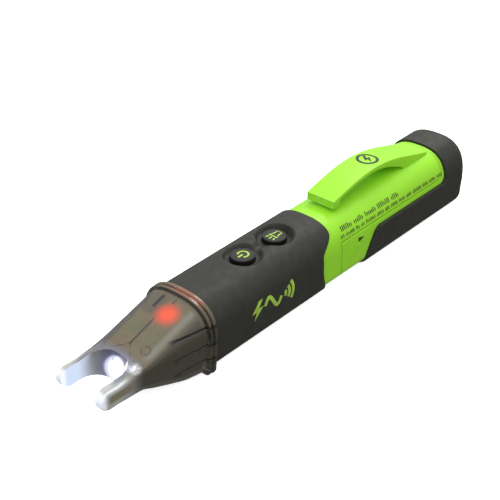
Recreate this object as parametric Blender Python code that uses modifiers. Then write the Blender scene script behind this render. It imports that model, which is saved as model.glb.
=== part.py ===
"""Two-prong non-contact voltage tester, modelled as the separate pieces it is assembled from.

The tester lies along X with the fork at -X and the battery door at +X, the buttons and the pocket
clip face +Z, and Z = 0 is the plane that it rests on. Lengths below are millimetres, and stations
along the body are measured back from the fork tips; the helpers turn both into metres about the
middle of the length.
"""
import math
from collections import namedtuple

import bmesh
import bpy
from mathutils import Matrix, Vector

MM = 0.001
GAP = 0.3                      # clearance between pieces that meet

# Driving dimensions -----------------------------------------------------------------------------
LENGTH = 165.0
SHOULDER = 9.6                 # height where the straight sides turn into the crown
CROWN_POWER = 2.74             # superellipse power of the crown
CROWN_START = 40.0             # station where the crown height is CROWN_HEIGHT
CROWN_HEIGHT = 21.0
CROWN_SLOPE = 0.0195           # the body grows this much taller per millimetre towards the tail
PROUD = 0.7                    # rubber stands this much above the green plastic
LEAN_HEIGHT = 17.0             # below this height the flange and the sleeve ends lean forward

# Nose: a fork of two hollow tines on a tapering hollow cone
TINE_HEIGHT = 6.2
TINE_MIDDLE = 9.8
TINE_OUTER = 9.2
TINE_INNER = 6.35
TINE_WALL = 0.75
NOSE_WALL = 1.1
NOTCH_BASE = 13.2              # station of the bottom of the fork's gap at the tines' mid height
NOTCH_CORNER = 4.8
NOTCH_TILT = math.radians(20)  # the gap's back wall leans back towards the top
FLANGE_FRONT = 36.4
FLANGE_REAR = 39.3
FLANGE_HALF_WIDTH = 12.95
FLANGE_LEAN = 0.08
SPIGOT_REAR = 46.0
SPIGOT_HALF_WIDTH = 9.2

# Grip sleeve and housing
SLEEVE_FRONT = FLANGE_REAR + GAP
SLEEVE_REAR = 92.0
SLEEVE_HALF_WIDTH = 12.05
SLEEVE_BOTTOM = 1.0
SLEEVE_WALL = 1.15
SLEEVE_ROOF = 2.6              # rubber is thicker on top, where the button dishes are cut
HOUSING_HALF_WIDTH = 11.35
HOUSING_BOTTOM = 1.6
HOUSING_FRONT = 41.5
HOUSING_REAR = 150.9
HOUSING_WALL = 1.1
BAY_HALF_WIDTH = 10.45
BAY_FLOOR = 2.6
BAY_ROOF_WALL = 1.4

# Battery door with its rubber overmould
DOOR_FRONT = 96.0
SEAM_HEIGHT = 14.3
SEAM_CORNER = 2.5
CAP_EDGE = 152.3
OVERMOLD_HALF_WIDTH = 12.0
OVERMOLD_TOP_EDGE = 12.5
OVERMOLD_BED = 0.35            # depth of the bed that the overmould sits in
TAIL_ROUND = 3.4
DOOR_END_WALL = 1.3

# Buttons, switches and circuit board
BUTTON_STATIONS = {"power": 63.35, "light": 77.45}
BUTTON_RADIUS = 3.5
BUTTON_TOP = 21.2
BUTTON_FLANGE_RADIUS = 4.3
BUTTON_FLANGE_TOP = 17.0
BUTTON_FLANGE_BOTTOM = 16.2
DISH_RADIUS = 5.5
DISH_FLOOR = 19.75
BOARD_BOTTOM = 10.2
BOARD_THICKNESS = 1.0
BOARD_TOP = BOARD_BOTTOM + BOARD_THICKNESS
BOARD_FRONT = 22.5
BOARD_STEP = 47.5
BOARD_REAR = 89.0
SWITCH_SIZE = 6.0
SWITCH_TOP = 14.9
PLUNGER_RADIUS = 1.6
PLUNGER_TOP = BUTTON_FLANGE_BOTTOM - GAP
PLUNGER_BOTTOM = 13.2
SCREW_STATIONS = {"front": 48.6, "rear": 86.0}
BUZZER_STATION = 55.4

# Lamps
LAMP_RADIUS = 2.5
LAMP_FLANGE_RADIUS = 2.9
FLASHLIGHT_TIP = 12.4
FLASHLIGHT_HEIGHT = 9.6
LAMP_LENGTH = 8.6
INDICATOR_STATION = 33.2
INDICATOR_HEIGHT = 5.6

# Batteries: two AAA cells side by side, one reversed
CELL_RADIUS = 5.1
CELL_LENGTH = 44.5
CELL_OFFSET = 5.15
CELL_HEIGHT = 8.4
CELL_FRONT = 100.0
CELL_REAR = 147.7
NUB_RADIUS = 1.9
NUB_LENGTH = 0.9
TRAY_FRONT = 97.2
TRAY_REAR = 150.2
TRAY_WALL = 1.7
TRAY_TOP = 14.5
TRAY_BOTTOM = 4.2
PLATE_THICKNESS = 0.4

# Pocket clip: the underside and the top of the arm are arcs through a tip, a crest and a root
CLIP_HALF_WIDTH = 5.25
CLIP_TIP = 99.0
CLIP_ROOT = 149.5
CLIP_HINGE = 148.0
CLIP_CREST = 120.5
CLIP_CREST_TOP = 28.5
CLIP_CREST_THICKNESS = 2.4
CLIP_TIP_TOP = 24.6
CLIP_TONGUE = (144.5, 147.5)

Station = namedtuple("Station", "x half_width bottom top corner power shoulder lean draft")


def crown(x):
    """Height of the rubber's crown at a station."""
    return CROWN_HEIGHT + CROWN_SLOPE * (x - CROWN_START)


def station(x, half_width, bottom, top, corner, power=CROWN_POWER, shoulder=SHOULDER, lean=0.0, draft=0.0):
    return Station(x, half_width, bottom, top, corner, power, shoulder, lean, draft)


def inset(place, wall, floor=None, roof=None):
    """The same section with its walls moved inwards."""
    floor = wall if floor is None else floor
    roof = wall if roof is None else roof
    corner = max(place.corner - wall, 0.4)
    return place._replace(half_width=place.half_width - wall, bottom=place.bottom + floor,
                          top=place.top - roof, corner=corner)


# Scene helpers ----------------------------------------------------------------------------------
def clear_scene():
    for thing in list(bpy.data.objects):
        bpy.data.objects.remove(thing, do_unlink=True)


def new_collection(name):
    collection = bpy.data.collections.new(name)
    bpy.context.scene.collection.children.link(collection)
    return collection


def make_material(name, colour, roughness, metallic=0.0, alpha=1.0):
    material = bpy.data.materials.new(name)
    material.use_nodes = True
    shader = material.node_tree.nodes["Principled BSDF"]
    shader.inputs["Base Color"].default_value = (*colour, 1.0)
    shader.inputs["Roughness"].default_value = roughness
    shader.inputs["Metallic"].default_value = metallic
    shader.inputs["Alpha"].default_value = alpha
    material.diffuse_color = (*colour, alpha)
    return material


def to_world(x, y, z):
    """A point given as station, side and height in millimetres, in metres."""
    return Vector((x - LENGTH / 2, y, z)) * MM


def add_object(name, mesh, material, origin=(0.0, 0.0, 0.0)):
    """Place a mesh made of (station, side, height) points, with its origin at a point of that kind."""
    base = to_world(*origin)
    mesh.transform(Matrix.Diagonal((MM, MM, MM, 1.0)))
    mesh.transform(Matrix.Translation(Vector((-LENGTH / 2 * MM, 0.0, 0.0)) - base))
    mesh.name = name
    thing = bpy.data.objects.new(name, mesh)
    thing.location = base
    if material is None:
        thing.hide_render = True
        thing.display_type = "WIRE"
        CUTTERS.objects.link(thing)
    else:
        mesh.materials.append(material)
        TESTER.objects.link(thing)
    return thing


def smooth(thing, angle=35.0):
    thing.data.shade_smooth()
    thing.data.set_sharp_from_angle(angle=math.radians(angle))


def combine(target, tool, operation="DIFFERENCE"):
    modifier = target.modifiers.new(tool.name, "BOOLEAN")
    modifier.operation = operation
    modifier.object = tool
    modifier.solver = "EXACT"


def bevel(thing, width, segments=2):
    modifier = thing.modifiers.new("bevel", "BEVEL")
    modifier.width = width * MM
    modifier.segments = segments
    modifier.limit_method = "ANGLE"
    modifier.angle_limit = math.radians(40)


# Shape helpers ----------------------------------------------------------------------------------
CROWN_STEPS = 20
CORNER_STEPS = 4


def section_points(place):
    """One closed section: superellipse crown, straight sides and a flat bottom with round corners."""
    points = []
    for step in range(CROWN_STEPS + 1):
        angle = math.pi * step / CROWN_STEPS
        side = math.cos(angle)
        rise = max(math.sin(angle), 0.0)
        y = place.half_width * math.copysign(abs(side) ** (2 / place.power), side)
        z = place.shoulder + (place.top - place.shoulder) * rise ** (2 / place.power)
        points.append((y, z))
    for sign, start in ((-1, math.pi), (1, 1.5 * math.pi)):
        for step in range(CORNER_STEPS + 1):
            angle = start + math.pi / 2 * step / CORNER_STEPS
            y = sign * (place.half_width - place.draft - place.corner) + place.corner * math.cos(angle)
            z = place.bottom + place.corner + place.corner * math.sin(angle)
            points.append((y, z))
    return points


def loft(stations):
    """A closed body skinned through the sections of a list of stations."""
    shape = bmesh.new()
    rings = []
    for place in stations:
        ring = []
        for y, z in section_points(place):
            x = place.x + place.lean * min(0.0, z - LEAN_HEIGHT)
            ring.append(shape.verts.new((x, y, z)))
        rings.append(ring)
    for first, second in zip(rings, rings[1:]):
        for here in range(len(first)):
            after = (here + 1) % len(first)
            shape.faces.new((first[here], first[after], second[after], second[here]))
    shape.faces.new(rings[0])
    shape.faces.new(rings[-1])
    return shape


def to_mesh(shape):
    """Turn a bmesh into a mesh with its faces pointing out."""
    bmesh.ops.recalc_face_normals(shape, faces=shape.faces)
    mesh = bpy.data.meshes.new("shape")
    shape.to_mesh(mesh)
    shape.free()
    return mesh


def round_corners(corners, steps=4):
    """Outline points from (x, y, radius) corners, each corner with a radius drawn as an arc."""
    points = []
    for index, (x, y, radius) in enumerate(corners):
        here = Vector((x, y))
        if radius == 0:
            points.append(here)
            continue
        before = (Vector(corners[index - 1][:2]) - here).normalized()
        after = (Vector(corners[(index + 1) % len(corners)][:2]) - here).normalized()
        half = before.angle(after) / 2
        centre = here + (before + after).normalized() * (radius / math.sin(half))
        start = here + before * (radius / math.tan(half)) - centre
        end = here + after * (radius / math.tan(half)) - centre
        turn = start.angle_signed(end)
        for step in range(steps + 1):
            points.append(centre + Matrix.Rotation(-turn * step / steps, 2) @ start)
    return points


def extrude_outline(points, thickness, plane="SIDE"):
    """A flat plate from a closed outline, centred on its plane.

    SIDE outlines are (station, height) and extend across the body, PLAN outlines are
    (station, side) and extend in height, and END outlines are (side, height) and extend along it.
    """
    curve = bpy.data.curves.new("outline", "CURVE")
    curve.dimensions = "2D"
    curve.fill_mode = "BOTH"
    curve.extrude = thickness / 2
    spline = curve.splines.new("POLY")
    spline.points.add(len(points) - 1)
    for target, point in zip(spline.points, points):
        target.co = (point[0], point[1], 0.0, 1.0)
    spline.use_cyclic_u = True
    axes = {
        "PLAN": Matrix.Identity(4),
        "SIDE": Matrix.Rotation(math.pi / 2, 4, "X"),
        "END": Matrix(((0, 0, 1, 0), (1, 0, 0, 0), (0, 1, 0, 0), (0, 0, 0, 1))),
    }
    return curve_to_mesh(curve, axes[plane])


def curve_to_mesh(curve, placement):
    """The evaluated mesh of a curve with its caps welded; the curve itself is removed."""
    guide = bpy.data.objects.new("guide", curve)
    bpy.context.scene.collection.objects.link(guide)
    depsgraph = bpy.context.evaluated_depsgraph_get()
    mesh = bpy.data.meshes.new_from_object(guide.evaluated_get(depsgraph))
    bpy.data.objects.remove(guide, do_unlink=True)
    bpy.data.curves.remove(curve)
    shape = bmesh.new()
    shape.from_mesh(mesh)
    bpy.data.meshes.remove(mesh)
    bmesh.ops.remove_doubles(shape, verts=shape.verts, dist=0.001)
    bmesh.ops.transform(shape, matrix=placement, verts=shape.verts)
    return to_mesh(shape)


def box(x, y, z):
    """A box from its (low, high) ranges of station, side and height."""
    shape = bmesh.new()
    bmesh.ops.create_cube(shape, size=1.0)
    size = (x[1] - x[0], y[1] - y[0], z[1] - z[0])
    middle = ((x[0] + x[1]) / 2, (y[0] + y[1]) / 2, (z[0] + z[1]) / 2)
    bmesh.ops.scale(shape, vec=size, verts=shape.verts)
    bmesh.ops.translate(shape, vec=middle, verts=shape.verts)
    return to_mesh(shape)


def rod(radius, start, end, sides=24):
    """A cylinder between two points."""
    start, end = Vector(start), Vector(end)
    shape = bmesh.new()
    bmesh.ops.create_cone(shape, cap_ends=True, segments=sides, radius1=radius, radius2=radius,
                          depth=(end - start).length)
    turn = Vector((0, 0, 1)).rotation_difference(end - start).to_matrix().to_4x4()
    bmesh.ops.transform(shape, matrix=Matrix.Translation((start + end) / 2) @ turn, verts=shape.verts)
    return to_mesh(shape)


def turned(name, profile, material, origin, axis="Z", steps=24):
    """A turned piece: a profile of (radius, distance along the axis), spun by a Screw modifier.

    The profile runs down the outside of the piece from the axis at its top to the axis at its
    bottom, and distances are measured from the origin.
    """
    shape = bmesh.new()
    verts = [shape.verts.new((radius, 0.0, along)) for radius, along in profile]
    for first, second in zip(verts, verts[1:]):
        shape.edges.new((first, second))
    mesh = bpy.data.meshes.new(name)
    shape.to_mesh(mesh)
    shape.free()
    mesh.transform(Matrix.Diagonal((MM, MM, MM, 1.0)))
    mesh.materials.append(material)
    thing = bpy.data.objects.new(name, mesh)
    thing.location = to_world(*origin)
    if axis == "X":
        thing.rotation_euler = (0.0, math.pi / 2, 0.0)
    elif axis == "-X":
        thing.rotation_euler = (0.0, -math.pi / 2, 0.0)
    TESTER.objects.link(thing)
    spin = thing.modifiers.new("spin", "SCREW")
    spin.axis = "Z"
    spin.steps = steps
    spin.render_steps = steps
    spin.use_merge_vertices = True
    spin.merge_threshold = 0.00001
    spin.use_smooth_shade = True
    return thing


def wire(name, points, radius, material):
    """A round wire or lead along a smooth curve through its points."""
    curve = bpy.data.curves.new(name, "CURVE")
    curve.dimensions = "3D"
    curve.bevel_depth = radius * MM
    curve.bevel_resolution = 2
    curve.use_fill_caps = True
    spline = curve.splines.new("POLY")
    spline.points.add(len(points) - 1)
    for target, point in zip(spline.points, points):
        target.co = (*to_world(*point), 1.0)
    thing = bpy.data.objects.new(name, curve)
    curve.materials.append(material)
    TESTER.objects.link(thing)
    return thing


def ease_between(start, end, steps=8):
    """Points of a lead that leaves one pad level and settles on another level."""
    start, end = Vector(start), Vector(end)
    points = []
    for step in range(steps + 1):
        share = step / steps
        blend = share * share * (3 - 2 * share)
        points.append((start.x + (end.x - start.x) * share,
                       start.y + (end.y - start.y) * blend,
                       start.z + (end.z - start.z) * blend))
    return points


# Nose -------------------------------------------------------------------------------------------
def tip_stations(wall=0.0):
    """Sections of the rounded end of the tines, which is a half circle seen from the side."""
    radius = TINE_HEIGHT / 2 - wall
    angles = [math.radians(degrees) for degrees in (22, 45, 68, 90)]
    places = []
    for angle in angles:
        half = radius * math.sin(angle)
        x = wall + radius * (math.cos(angles[0]) - math.cos(angle))
        places.append(station(x, TINE_OUTER - wall, TINE_MIDDLE - half, TINE_MIDDLE + half,
                              half * 0.35, 5.0, TINE_MIDDLE))
    return places


def cone_stations():
    """Sections of the nose from the root of the tines back to the flange."""
    return [
        station(8.0, 9.2, 6.6, 12.95, 1.2, 5.0, TINE_MIDDLE),
        station(13.5, 9.35, 6.3, 13.5, 1.4, 5.0, TINE_MIDDLE),
        station(18.0, 9.8, 4.7, 14.7, 1.9, 4.0, lean=0.02),
        station(25.0, 10.5, 2.3, 17.1, 2.5, 3.4, lean=0.04),
        station(31.0, 11.2, 0.7, 19.2, 3.0, 3.0, lean=0.06),
        station(FLANGE_FRONT - 0.2, 11.9, 0.4, 20.9, 3.2, lean=FLANGE_LEAN),
    ]


def flange_stations():
    outer = station(FLANGE_FRONT, FLANGE_HALF_WIDTH - 0.3, 0.1, crown(FLANGE_FRONT) + 0.4, 2.5,
                    lean=FLANGE_LEAN)
    full = outer._replace(x=FLANGE_FRONT + 0.5, half_width=FLANGE_HALF_WIDTH, bottom=0.0,
                          top=crown(FLANGE_FRONT) + 0.7, corner=2.6)
    return [outer, full, full._replace(x=FLANGE_REAR)]


def spigot_station(x):
    return station(x, SPIGOT_HALF_WIDTH, 3.6, crown(x) - 4.3, 2.0)


def notch_mesh(half_width, base, corner):
    """The fork's gap, a round-cornered U that is open towards the tips and leans back."""
    outline = round_corners([(-20.0, -half_width, 0), (base, -half_width, corner),
                             (base, half_width, corner), (-20.0, half_width, 0)], steps=8)
    mesh = extrude_outline(outline, 40.0, "PLAN")
    pivot = Vector((base, 0.0, TINE_MIDDLE))
    mesh.transform(Matrix.Translation(pivot - Vector((base, 0, 0)))
                   @ Matrix.Translation((base, 0, 0)) @ Matrix.Rotation(NOTCH_TILT, 4, "Y")
                   @ Matrix.Translation((-base, 0, 0)))
    return mesh


def make_nose():
    outer = tip_stations() + cone_stations() + flange_stations()
    outer += [spigot_station(FLANGE_REAR)._replace(lean=FLANGE_LEAN), spigot_station(SPIGOT_REAR)]
    nose = add_object("nose_cone", to_mesh(loft(outer)), MATERIALS["smoke"])

    fork_inside = [inset(place, TINE_WALL) for place in cone_stations()[:2]]
    cone_inside = [inset(place, NOSE_WALL) for place in cone_stations()[2:]]
    spigot_inside = [inset(spigot_station(x), 0.9) for x in (FLANGE_REAR, SPIGOT_REAR + 2)]
    inside = tip_stations(TINE_WALL) + fork_inside + cone_inside + spigot_inside
    hollow = add_object("nose_hollow", to_mesh(loft(inside)), None)
    wall = notch_mesh(TINE_INNER + TINE_WALL, NOTCH_BASE + NOSE_WALL, NOTCH_CORNER + TINE_WALL)
    combine(hollow, add_object("notch_wall", wall, None))
    combine(nose, hollow)
    gap = notch_mesh(TINE_INNER, NOTCH_BASE, NOTCH_CORNER)
    combine(nose, add_object("notch", gap, None))
    bore = rod(LAMP_RADIUS + 0.25, (5.0, 0, FLASHLIGHT_HEIGHT), (20.0, 0, FLASHLIGHT_HEIGHT))
    combine(nose, add_object("lamp_bore", bore, None))
    return nose


def lamp_profile(length):
    """A round lamp with a domed end at the top and a wider rim at the base."""
    dome = [(LAMP_RADIUS * math.sin(math.radians(a)),
             length - LAMP_RADIUS + LAMP_RADIUS * math.cos(math.radians(a))) for a in (0, 22, 45, 68, 90)]
    return dome + [(LAMP_RADIUS, 1.0), (LAMP_FLANGE_RADIUS, 1.0), (LAMP_FLANGE_RADIUS, 0.0), (0.0, 0.0)]


def make_lamps():
    base = FLASHLIGHT_TIP + LAMP_LENGTH
    turned("flashlight_led", lamp_profile(LAMP_LENGTH), MATERIALS["clear_white"],
           (base, 0.0, FLASHLIGHT_HEIGHT), "-X", steps=20)
    turned("indicator_led", lamp_profile(INDICATOR_HEIGHT), MATERIALS["red_lens"],
           (INDICATOR_STATION, 0.0, BOARD_TOP + GAP), steps=20)

    holder = add_object("led_holder", box((base + GAP, base + 2.3), (-3.2, 3.2), (6.4, BOARD_BOTTOM - GAP)),
                        MATERIALS["black_plastic"])
    bevel(holder, 0.3)
    for name, side in (("led_lead_left", -1.27), ("led_lead_right", 1.27)):
        lead = add_object(name, box((base + GAP, base + 3.6), (side - 0.25, side + 0.25),
                                    (BOARD_TOP + 0.15, BOARD_TOP + 0.65)), MATERIALS["tinned"])
        bevel(lead, 0.08)


def make_sensor_plates():
    """Thin pick-up plates that reach from the board into the tines."""
    for name, side in (("sensor_plate_left", -1), ("sensor_plate_right", 1)):
        outline = round_corners([(3.4, 8.9, 0.8), (12.0, 8.9, 0), (19.5, 11.7, 0.5), (23.2, 11.7, 0.3),
                                 (23.2, 12.6, 0.3), (17.5, 12.6, 0.5), (12.0, 10.7, 0), (3.4, 10.7, 0.8)])
        mesh = extrude_outline(outline, 0.4)
        mesh.transform(Matrix.Translation((0, side * 7.8, 0)))
        add_object(name, mesh, MATERIALS["copper"])


# Grip sleeve and housing ------------------------------------------------------------------------
def sleeve_station(x, lean=0.0):
    return station(x, SLEEVE_HALF_WIDTH, SLEEVE_BOTTOM, crown(x), 3.0, lean=lean)


def green_station(x, lean=0.0):
    return station(x, HOUSING_HALF_WIDTH, HOUSING_BOTTOM, crown(x) - PROUD, 2.6, lean=lean)


def core_station(x, lean=0.0):
    """The housing where the sleeve covers it."""
    return inset(sleeve_station(x, lean), SLEEVE_WALL + GAP, 0.9 + GAP, SLEEVE_ROOF + GAP)


def button_holes(thing, radius, dish):
    for name, x in BUTTON_STATIONS.items():
        hole = rod(radius, (x, 0, 14.0), (x, 0, 26.0), sides=28)
        combine(thing, add_object(f"{thing.name}_{name}_hole", hole, None))
        if dish:
            bowl = add_object(f"{name}_dish", rod(DISH_RADIUS, (x, 0, DISH_FLOOR), (x, 0, 26.0), 36), None)
            bevel(bowl, 0.9, 3)
            combine(thing, bowl)


def make_sleeve():
    outer = [sleeve_station(SLEEVE_FRONT, FLANGE_LEAN), sleeve_station(66.0), sleeve_station(SLEEVE_REAR, 0.1)]
    sleeve = add_object("grip_sleeve", to_mesh(loft(outer)), MATERIALS["rubber"])
    ends = (SLEEVE_FRONT - 6, SLEEVE_REAR + 6)
    inside = [inset(sleeve_station(x), SLEEVE_WALL, 0.9, SLEEVE_ROOF) for x in ends]
    combine(sleeve, add_object("sleeve_hollow", to_mesh(loft(inside)), None))
    button_holes(sleeve, BUTTON_RADIUS + GAP, dish=True)
    link = (BUTTON_STATIONS["power"] + DISH_RADIUS - 1.5, BUTTON_STATIONS["light"] - DISH_RADIUS + 1.5)
    saddle = box(link, (-2.23, 2.23), (DISH_FLOOR + 1.03, 26.0))
    combine(sleeve, add_object("dish_link", saddle, None))
    return sleeve


def door_outline(gap):
    """Side view of the door: everything below the seam, and the whole section behind the housing."""
    seam = SEAM_HEIGHT + gap
    rear = HOUSING_REAR - gap
    return round_corners([(DOOR_FRONT - gap, -5.0, 0), (DOOR_FRONT - gap, seam, 0), (rear, seam, SEAM_CORNER),
                          (rear, 40.0, 0), (LENGTH + 10, 40.0, 0), (LENGTH + 10, -5.0, 0)])


def make_housing():
    rear_core = SLEEVE_REAR + GAP
    outer = [core_station(HOUSING_FRONT), core_station(rear_core - 0.1, 0.1), green_station(rear_core, 0.1),
             green_station(HOUSING_REAR)]
    housing = add_object("main_housing", to_mesh(loft(outer)), MATERIALS["green"])
    inside = [inset(core_station(HOUSING_FRONT - 2), HOUSING_WALL), inset(core_station(SLEEVE_REAR), HOUSING_WALL),
              bay_station(DOOR_FRONT), bay_station(HOUSING_REAR + 2)]
    combine(housing, add_object("housing_hollow", to_mesh(loft(inside)), None))
    opening = extrude_outline(door_outline(GAP / 2), 40.0)
    combine(housing, add_object("door_opening", opening, None))
    button_holes(housing, BUTTON_RADIUS + GAP, dish=False)
    for name, x in SCREW_STATIONS.items():
        boss = rod(2.2, (x, 0, 2.6), (x, 0, BOARD_BOTTOM - GAP), sides=16)
        combine(housing, add_object(f"{name}_boss", boss, None), "UNION")
        bore = rod(1.1, (x, 0, 5.4), (x, 0, BOARD_TOP), sides=12)
        combine(housing, add_object(f"{name}_boss_bore", bore, None))
    slot = box((CLIP_TONGUE[0] - 0.5, CLIP_TONGUE[1] + 0.5), (-3.0, 3.0), (18.0, 26.0))
    combine(housing, add_object("clip_slot", slot, None))
    return housing


def bay_station(x):
    """The battery bay's inner walls, shared by the housing and the door."""
    return station(x, BAY_HALF_WIDTH, BAY_FLOOR, crown(x) - PROUD - BAY_ROOF_WALL, 1.8)


# Battery door -----------------------------------------------------------------------------------
def tail_stations(make, end, rounding, front):
    """Stations of a body whose end is rounded off, given the function of its plain stations."""
    places = [make(front), make(end - rounding)]
    for degrees in (30, 60, 90):
        angle = math.radians(degrees)
        step_in = rounding * (1 - math.cos(angle))
        place = make(end - rounding + rounding * math.sin(angle))
        places.append(inset(place, step_in)._replace(corner=max(place.corner - step_in * 0.3, 0.6)))
    return places


def overmold_station(x):
    return station(x, OVERMOLD_HALF_WIDTH, 0.0, crown(x), 4.1, draft=0.3)


def bed_station(x):
    """The door where the overmould covers it."""
    return inset(green_station(x), OVERMOLD_BED)


def overmold_outline(gap):
    """Side view of the overmould: a slanted front edge, a straight top edge and the tail cap."""
    top = OVERMOLD_TOP_EDGE + gap
    cap = CAP_EDGE - gap
    return round_corners([(105.4 - gap, -5.0, 0), (106.2 - gap, 4.0, 6), (112.6 - gap, top, 4),
                          (cap, top, 2.5), (cap, 40.0, 0), (LENGTH + 10, 40.0, 0), (LENGTH + 10, -5.0, 0)])


def make_door():
    door_end = LENGTH - 1.6
    outer = tail_stations(green_station, door_end, TAIL_ROUND - 1.0, DOOR_FRONT + 0.01)
    door = add_object("battery_door", to_mesh(loft(outer)), MATERIALS["green"])
    keep = extrude_outline(door_outline(-GAP / 2), 40.0)
    combine(door, add_object("door_zone", keep, None), "INTERSECT")
    inside = [bay_station(DOOR_FRONT - 6), bay_station(door_end - DOOR_END_WALL)]
    combine(door, add_object("door_hollow", to_mesh(loft(inside)), None))

    bed = add_object("overmold_bed", extrude_outline(overmold_outline(GAP), 40.0), None)
    core = tail_stations(bed_station, door_end - OVERMOLD_BED, TAIL_ROUND - 1.2, DOOR_FRONT - 8)
    combine(bed, add_object("door_core", to_mesh(loft(core)), None))
    combine(door, bed)

    skin_outer = tail_stations(overmold_station, LENGTH, TAIL_ROUND, DOOR_FRONT)
    skin = add_object("door_overmold", to_mesh(loft(skin_outer)), MATERIALS["rubber"])
    zone = add_object("overmold_zone", extrude_outline(overmold_outline(0.0), 40.0), None)
    combine(skin, zone, "INTERSECT")
    clearance = tail_stations(lambda x: inset(bed_station(x), -GAP), door_end - OVERMOLD_BED + GAP,
                              TAIL_ROUND - 1.0, DOOR_FRONT - 8)
    combine(skin, add_object("skin_hollow", to_mesh(loft(clearance)), None))


# Buttons and switches ---------------------------------------------------------------------------
def make_buttons():
    for name, x in BUTTON_STATIONS.items():
        cap_top = BUTTON_TOP - BUTTON_FLANGE_BOTTOM
        flange = BUTTON_FLANGE_TOP - BUTTON_FLANGE_BOTTOM
        turned(f"{name}_button_cap",
               [(0.0, cap_top), (BUTTON_RADIUS - 0.5, cap_top), (BUTTON_RADIUS, cap_top - 0.5),
                (BUTTON_RADIUS, flange), (BUTTON_FLANGE_RADIUS, flange), (BUTTON_FLANGE_RADIUS, 0.0), (0.0, 0.0)],
               MATERIALS["rubber"], (x, 0.0, BUTTON_FLANGE_BOTTOM), steps=28)
        plunger = PLUNGER_TOP - PLUNGER_BOTTOM
        turned(f"{name}_switch_plunger",
               [(0.0, plunger), (PLUNGER_RADIUS - 0.2, plunger), (PLUNGER_RADIUS, plunger - 0.2),
                (PLUNGER_RADIUS, 0.0), (0.0, 0.0)],
               MATERIALS["white_plastic"], (x, 0.0, PLUNGER_BOTTOM), steps=16)
        half = SWITCH_SIZE / 2
        switch = add_object(f"{name}_switch",
                            box((x - half, x + half), (-half, half), (BOARD_TOP + GAP, SWITCH_TOP)),
                            MATERIALS["black_plastic"])
        well = rod(PLUNGER_RADIUS + GAP, (x, 0, PLUNGER_BOTTOM - 0.9), (x, 0, SWITCH_TOP + 2), sides=16)
        combine(switch, add_object(f"{name}_switch_well", well, None))


# Circuit board ----------------------------------------------------------------------------------
def make_board():
    narrow = 7.4
    wide = 8.6
    outline = round_corners([(BOARD_FRONT, -5.0, 1.0), (BOARD_FRONT + 8, -narrow, 0), (BOARD_STEP, -narrow, 0),
                             (BOARD_STEP, -wide, 0.6), (BOARD_REAR, -wide, 1.0), (BOARD_REAR, wide, 1.0),
                             (BOARD_STEP, wide, 0.6), (BOARD_STEP, narrow, 0), (BOARD_FRONT + 8, narrow, 0),
                             (BOARD_FRONT, 5.0, 1.0)])
    mesh = extrude_outline(outline, BOARD_THICKNESS, "PLAN")
    mesh.transform(Matrix.Translation((0, 0, BOARD_BOTTOM + BOARD_THICKNESS / 2)))
    board = add_object("circuit_board", mesh, MATERIALS["board"])
    for name, x in SCREW_STATIONS.items():
        hole = rod(1.3, (x, 0, BOARD_BOTTOM - 2), (x, 0, BOARD_TOP + 2), sides=16)
        combine(board, add_object(f"{name}_board_hole", hole, None))
        length = 5.4
        turned(f"board_screw_{name}",
               [(0.0, length + 1.3), (1.3, length + 1.2), (2.0, length + 0.8), (2.0, length), (0.8, length),
                (0.8, 0.5), (0.4, 0.0), (0.0, 0.0)],
               MATERIALS["steel"], (x, 0.0, BOARD_TOP + GAP - length), steps=16)


def make_board_components():
    """Chips, buzzer and passives that stand on the board."""
    base = BOARD_TOP + GAP
    boxes = {
        "controller_chip": ((66.2, 74.6), (4.1, 8.1), (base, base + 1.5), "black_plastic"),
        "amplifier_chip": ((25.5, 29.0), (-3.6, 0.4), (base, base + 1.2), "black_plastic"),
        "led_resistor": ((26.0, 29.2), (2.4, 4.0), (base, base + 0.6), "black_plastic"),
        "filter_capacitor": ((66.6, 73.8), (-7.9, -5.0), (base, base + 2.4), "tan"),
    }
    for name, (x, y, z, material) in boxes.items():
        bevel(add_object(name, box(x, y, z), MATERIALS[material]), 0.15, 1)
    turned("buzzer",
           [(0.0, 4.4), (0.9, 4.4), (0.9, 3.9), (3.9, 3.9), (4.3, 3.5), (4.3, 0.0), (0.0, 0.0)],
           MATERIALS["black_plastic"], (BUZZER_STATION, 0.0, base), steps=24)


# Batteries --------------------------------------------------------------------------------------
def cell_profile():
    body = CELL_LENGTH - NUB_LENGTH
    return [(0.0, CELL_LENGTH), (NUB_RADIUS - 0.3, CELL_LENGTH), (NUB_RADIUS, CELL_LENGTH - 0.3),
            (NUB_RADIUS, body), (CELL_RADIUS - 0.5, body), (CELL_RADIUS, body - 0.5),
            (CELL_RADIUS, 0.4), (CELL_RADIUS - 0.4, 0.0), (0.0, 0.0)]


def make_batteries():
    left_base = (CELL_FRONT + CELL_LENGTH, -CELL_OFFSET, CELL_HEIGHT)
    right_base = (CELL_REAR - CELL_LENGTH, CELL_OFFSET, CELL_HEIGHT)
    turned("battery_left", cell_profile(), MATERIALS["battery"], left_base, "-X", steps=28)
    turned("battery_right", cell_profile(), MATERIALS["battery"], right_base, "X", steps=28)

    def spring(name, start, end, side):
        turns, per_turn = 3, 12
        points = []
        for step in range(turns * per_turn + 1):
            share = step / (turns * per_turn)
            angle = 2 * math.pi * step / per_turn
            radius = 3.4 - 1.2 * share
            points.append((start + (end - start) * share, side + radius * math.cos(angle),
                           CELL_HEIGHT + radius * math.sin(angle)))
        wire(name, points, 0.25, MATERIALS["steel"])

    clear = GAP + 0.25
    spring("battery_spring_rear", CELL_REAR - clear + GAP, left_base[0] + clear, -CELL_OFFSET)
    spring("battery_spring_front", CELL_FRONT + clear - GAP, right_base[0] - clear, CELL_OFFSET)


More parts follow.
